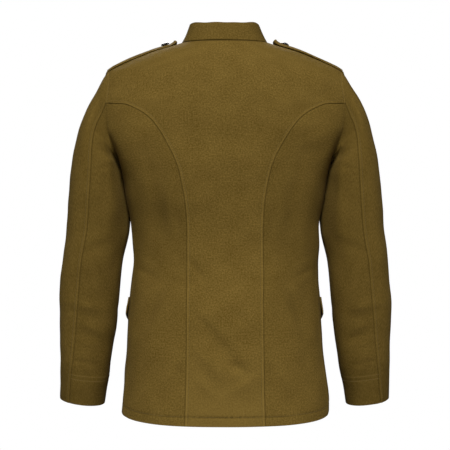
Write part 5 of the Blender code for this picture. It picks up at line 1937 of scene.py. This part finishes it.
def make_buttons():
    for number, height in enumerate(FRONT_BUTTON_HEIGHTS, start=1):
        level = np.array(height)
        spot = np.array(-90.0)
        make_button(f"front_button_{number}", body(spot, level, BUTTON_GAP), body_normal(spot, level))
    across = STRAP_BUTTON_ACROSS - STRAP_BUTTON_IN + np.array([-0.002, 0.002])
    ends = strap_points(across, 0 * across, STRAP_GAP + STRAP_WALL + STRAP_CROWN + 2 * BUTTON_GAP)
    place = ends.mean(axis=0)
    outward = np.cross(ends[0] - ends[1], np.array([0.0, 1.0, 0.0]))
    outward = outward * np.sign(outward[2])
    for word, side in SIDES:
        turn = np.array([side, 1.0, 1.0])
        make_button("strap_button_" + word, place * turn, outward * turn)


# Build

panels, closing_line = make_body_panels()
stitches = make_body_stitches(closing_line)
panels.update(make_sleeve_panels())
stitches.update(make_sleeve_stitches())
panels.update(make_collar())
strap_panels, strap_stitches = make_straps()
flap_panels, flap_stitches = make_flaps()
panels.update(strap_panels)
panels.update(flap_panels)
stitches.update(strap_stitches)
stitches.update(flap_stitches)
make_buttons()


# Floor, light and camera

FLOOR_HALF_SIZE = 14.0
FLOOR_LEVEL = -0.86
LIT_STRENGTH = 0.030

# Each light: name, place, the point it faces, size and energy
LIGHTS = (
    ("key", (0.0, 7.6, 8.4), (0.0, 0.0, -0.38), 2.8, 1500.0),
    ("fill", (0.0, 7.5, -1.2), (0.0, 0.0, -0.40), 2.4, 130.0),
    ("front", (0.6, -4.6, 2.6), (0.0, 0.0, -0.35), 2.0, 230.0),
)
CAMERA_PLACE = (0.0, 3.0, -0.357)
CAMERA_LENS = 123.0


def seen_or_lit(tree, lit, seen, end):
    """One shader for the light that a surface gives off, and another for what the camera sees."""
    path = tree.nodes.new("ShaderNodeLightPath")
    mix = tree.nodes.new("ShaderNodeMixShader")
    tree.links.new(path.outputs["Is Camera Ray"], mix.inputs["Fac"])
    tree.links.new(lit, mix.inputs[1])
    tree.links.new(seen, mix.inputs[2])
    tree.links.new(mix.outputs["Shader"], end)


def make_floor():
    """A plain pale floor well under the hem, wide enough to fill every view."""
    mesh = bpy.data.meshes.new("floor")
    corners = ((-1, -1), (1, -1), (1, 1), (-1, 1))
    points = [(x * FLOOR_HALF_SIZE, y * FLOOR_HALF_SIZE, FLOOR_LEVEL) for x, y in corners]
    mesh.from_pydata(points, [], [(0, 1, 2, 3)])
    made, tree, shader = new_material("floor_pale", 0.9)
    shader.inputs["Base Color"].default_value = (0.35, 0.35, 0.34, 1.0)
    shader.inputs["Specular IOR Level"].default_value = 0.1
    glow = tree.nodes.new("ShaderNodeEmission")
    glow.inputs["Strength"].default_value = 1.0
    end = tree.nodes["Material Output"].inputs["Surface"]
    seen_or_lit(tree, shader.outputs["BSDF"], glow.outputs["Emission"], end)
    mesh.materials.append(made)
    add_object("floor", mesh)


def make_light(name, place, aim, size, energy):
    """A square soft light at this place, facing a point."""
    lamp = bpy.data.lights.new(name, "AREA")
    lamp.shape = "SQUARE"
    lamp.size = size
    lamp.energy = energy
    item = add_object(name, lamp)
    way = np.array(aim) - np.array(place)
    far = math.hypot(way[0], way[1])
    item.location = place
    item.rotation_euler = (math.atan2(far, -way[2]), 0.0, math.atan2(way[0], -way[1]) + math.pi)


def make_studio():
    world = bpy.data.worlds.new("studio")
    world.use_nodes = True
    tree = world.node_tree
    tree.nodes.clear()
    end = tree.nodes.new("ShaderNodeOutputWorld")
    shaders = []
    for strength in (LIT_STRENGTH, 1.0):
        white = tree.nodes.new("ShaderNodeBackground")
        white.inputs["Color"].default_value = (1.0, 1.0, 1.0, 1.0)
        white.inputs["Strength"].default_value = strength
        shaders.append(white.outputs["Background"])
    seen_or_lit(tree, *shaders, end.inputs["Surface"])
    bpy.context.scene.world = world
    for row in LIGHTS:
        make_light(*row)
    scene = bpy.context.scene
    scene.view_settings.view_transform = "Standard"
    scene.view_settings.look = "None"


def make_camera():
    camera = bpy.data.cameras.new("camera")
    camera.lens = CAMERA_LENS
    camera.sensor_width = 36.0
    item = add_object("camera", camera)
    item.location = CAMERA_PLACE
    item.rotation_euler = (math.radians(90.0), 0.0, math.radians(180.0))
    bpy.context.scene.camera = item


make_floor()
make_studio()
make_camera()
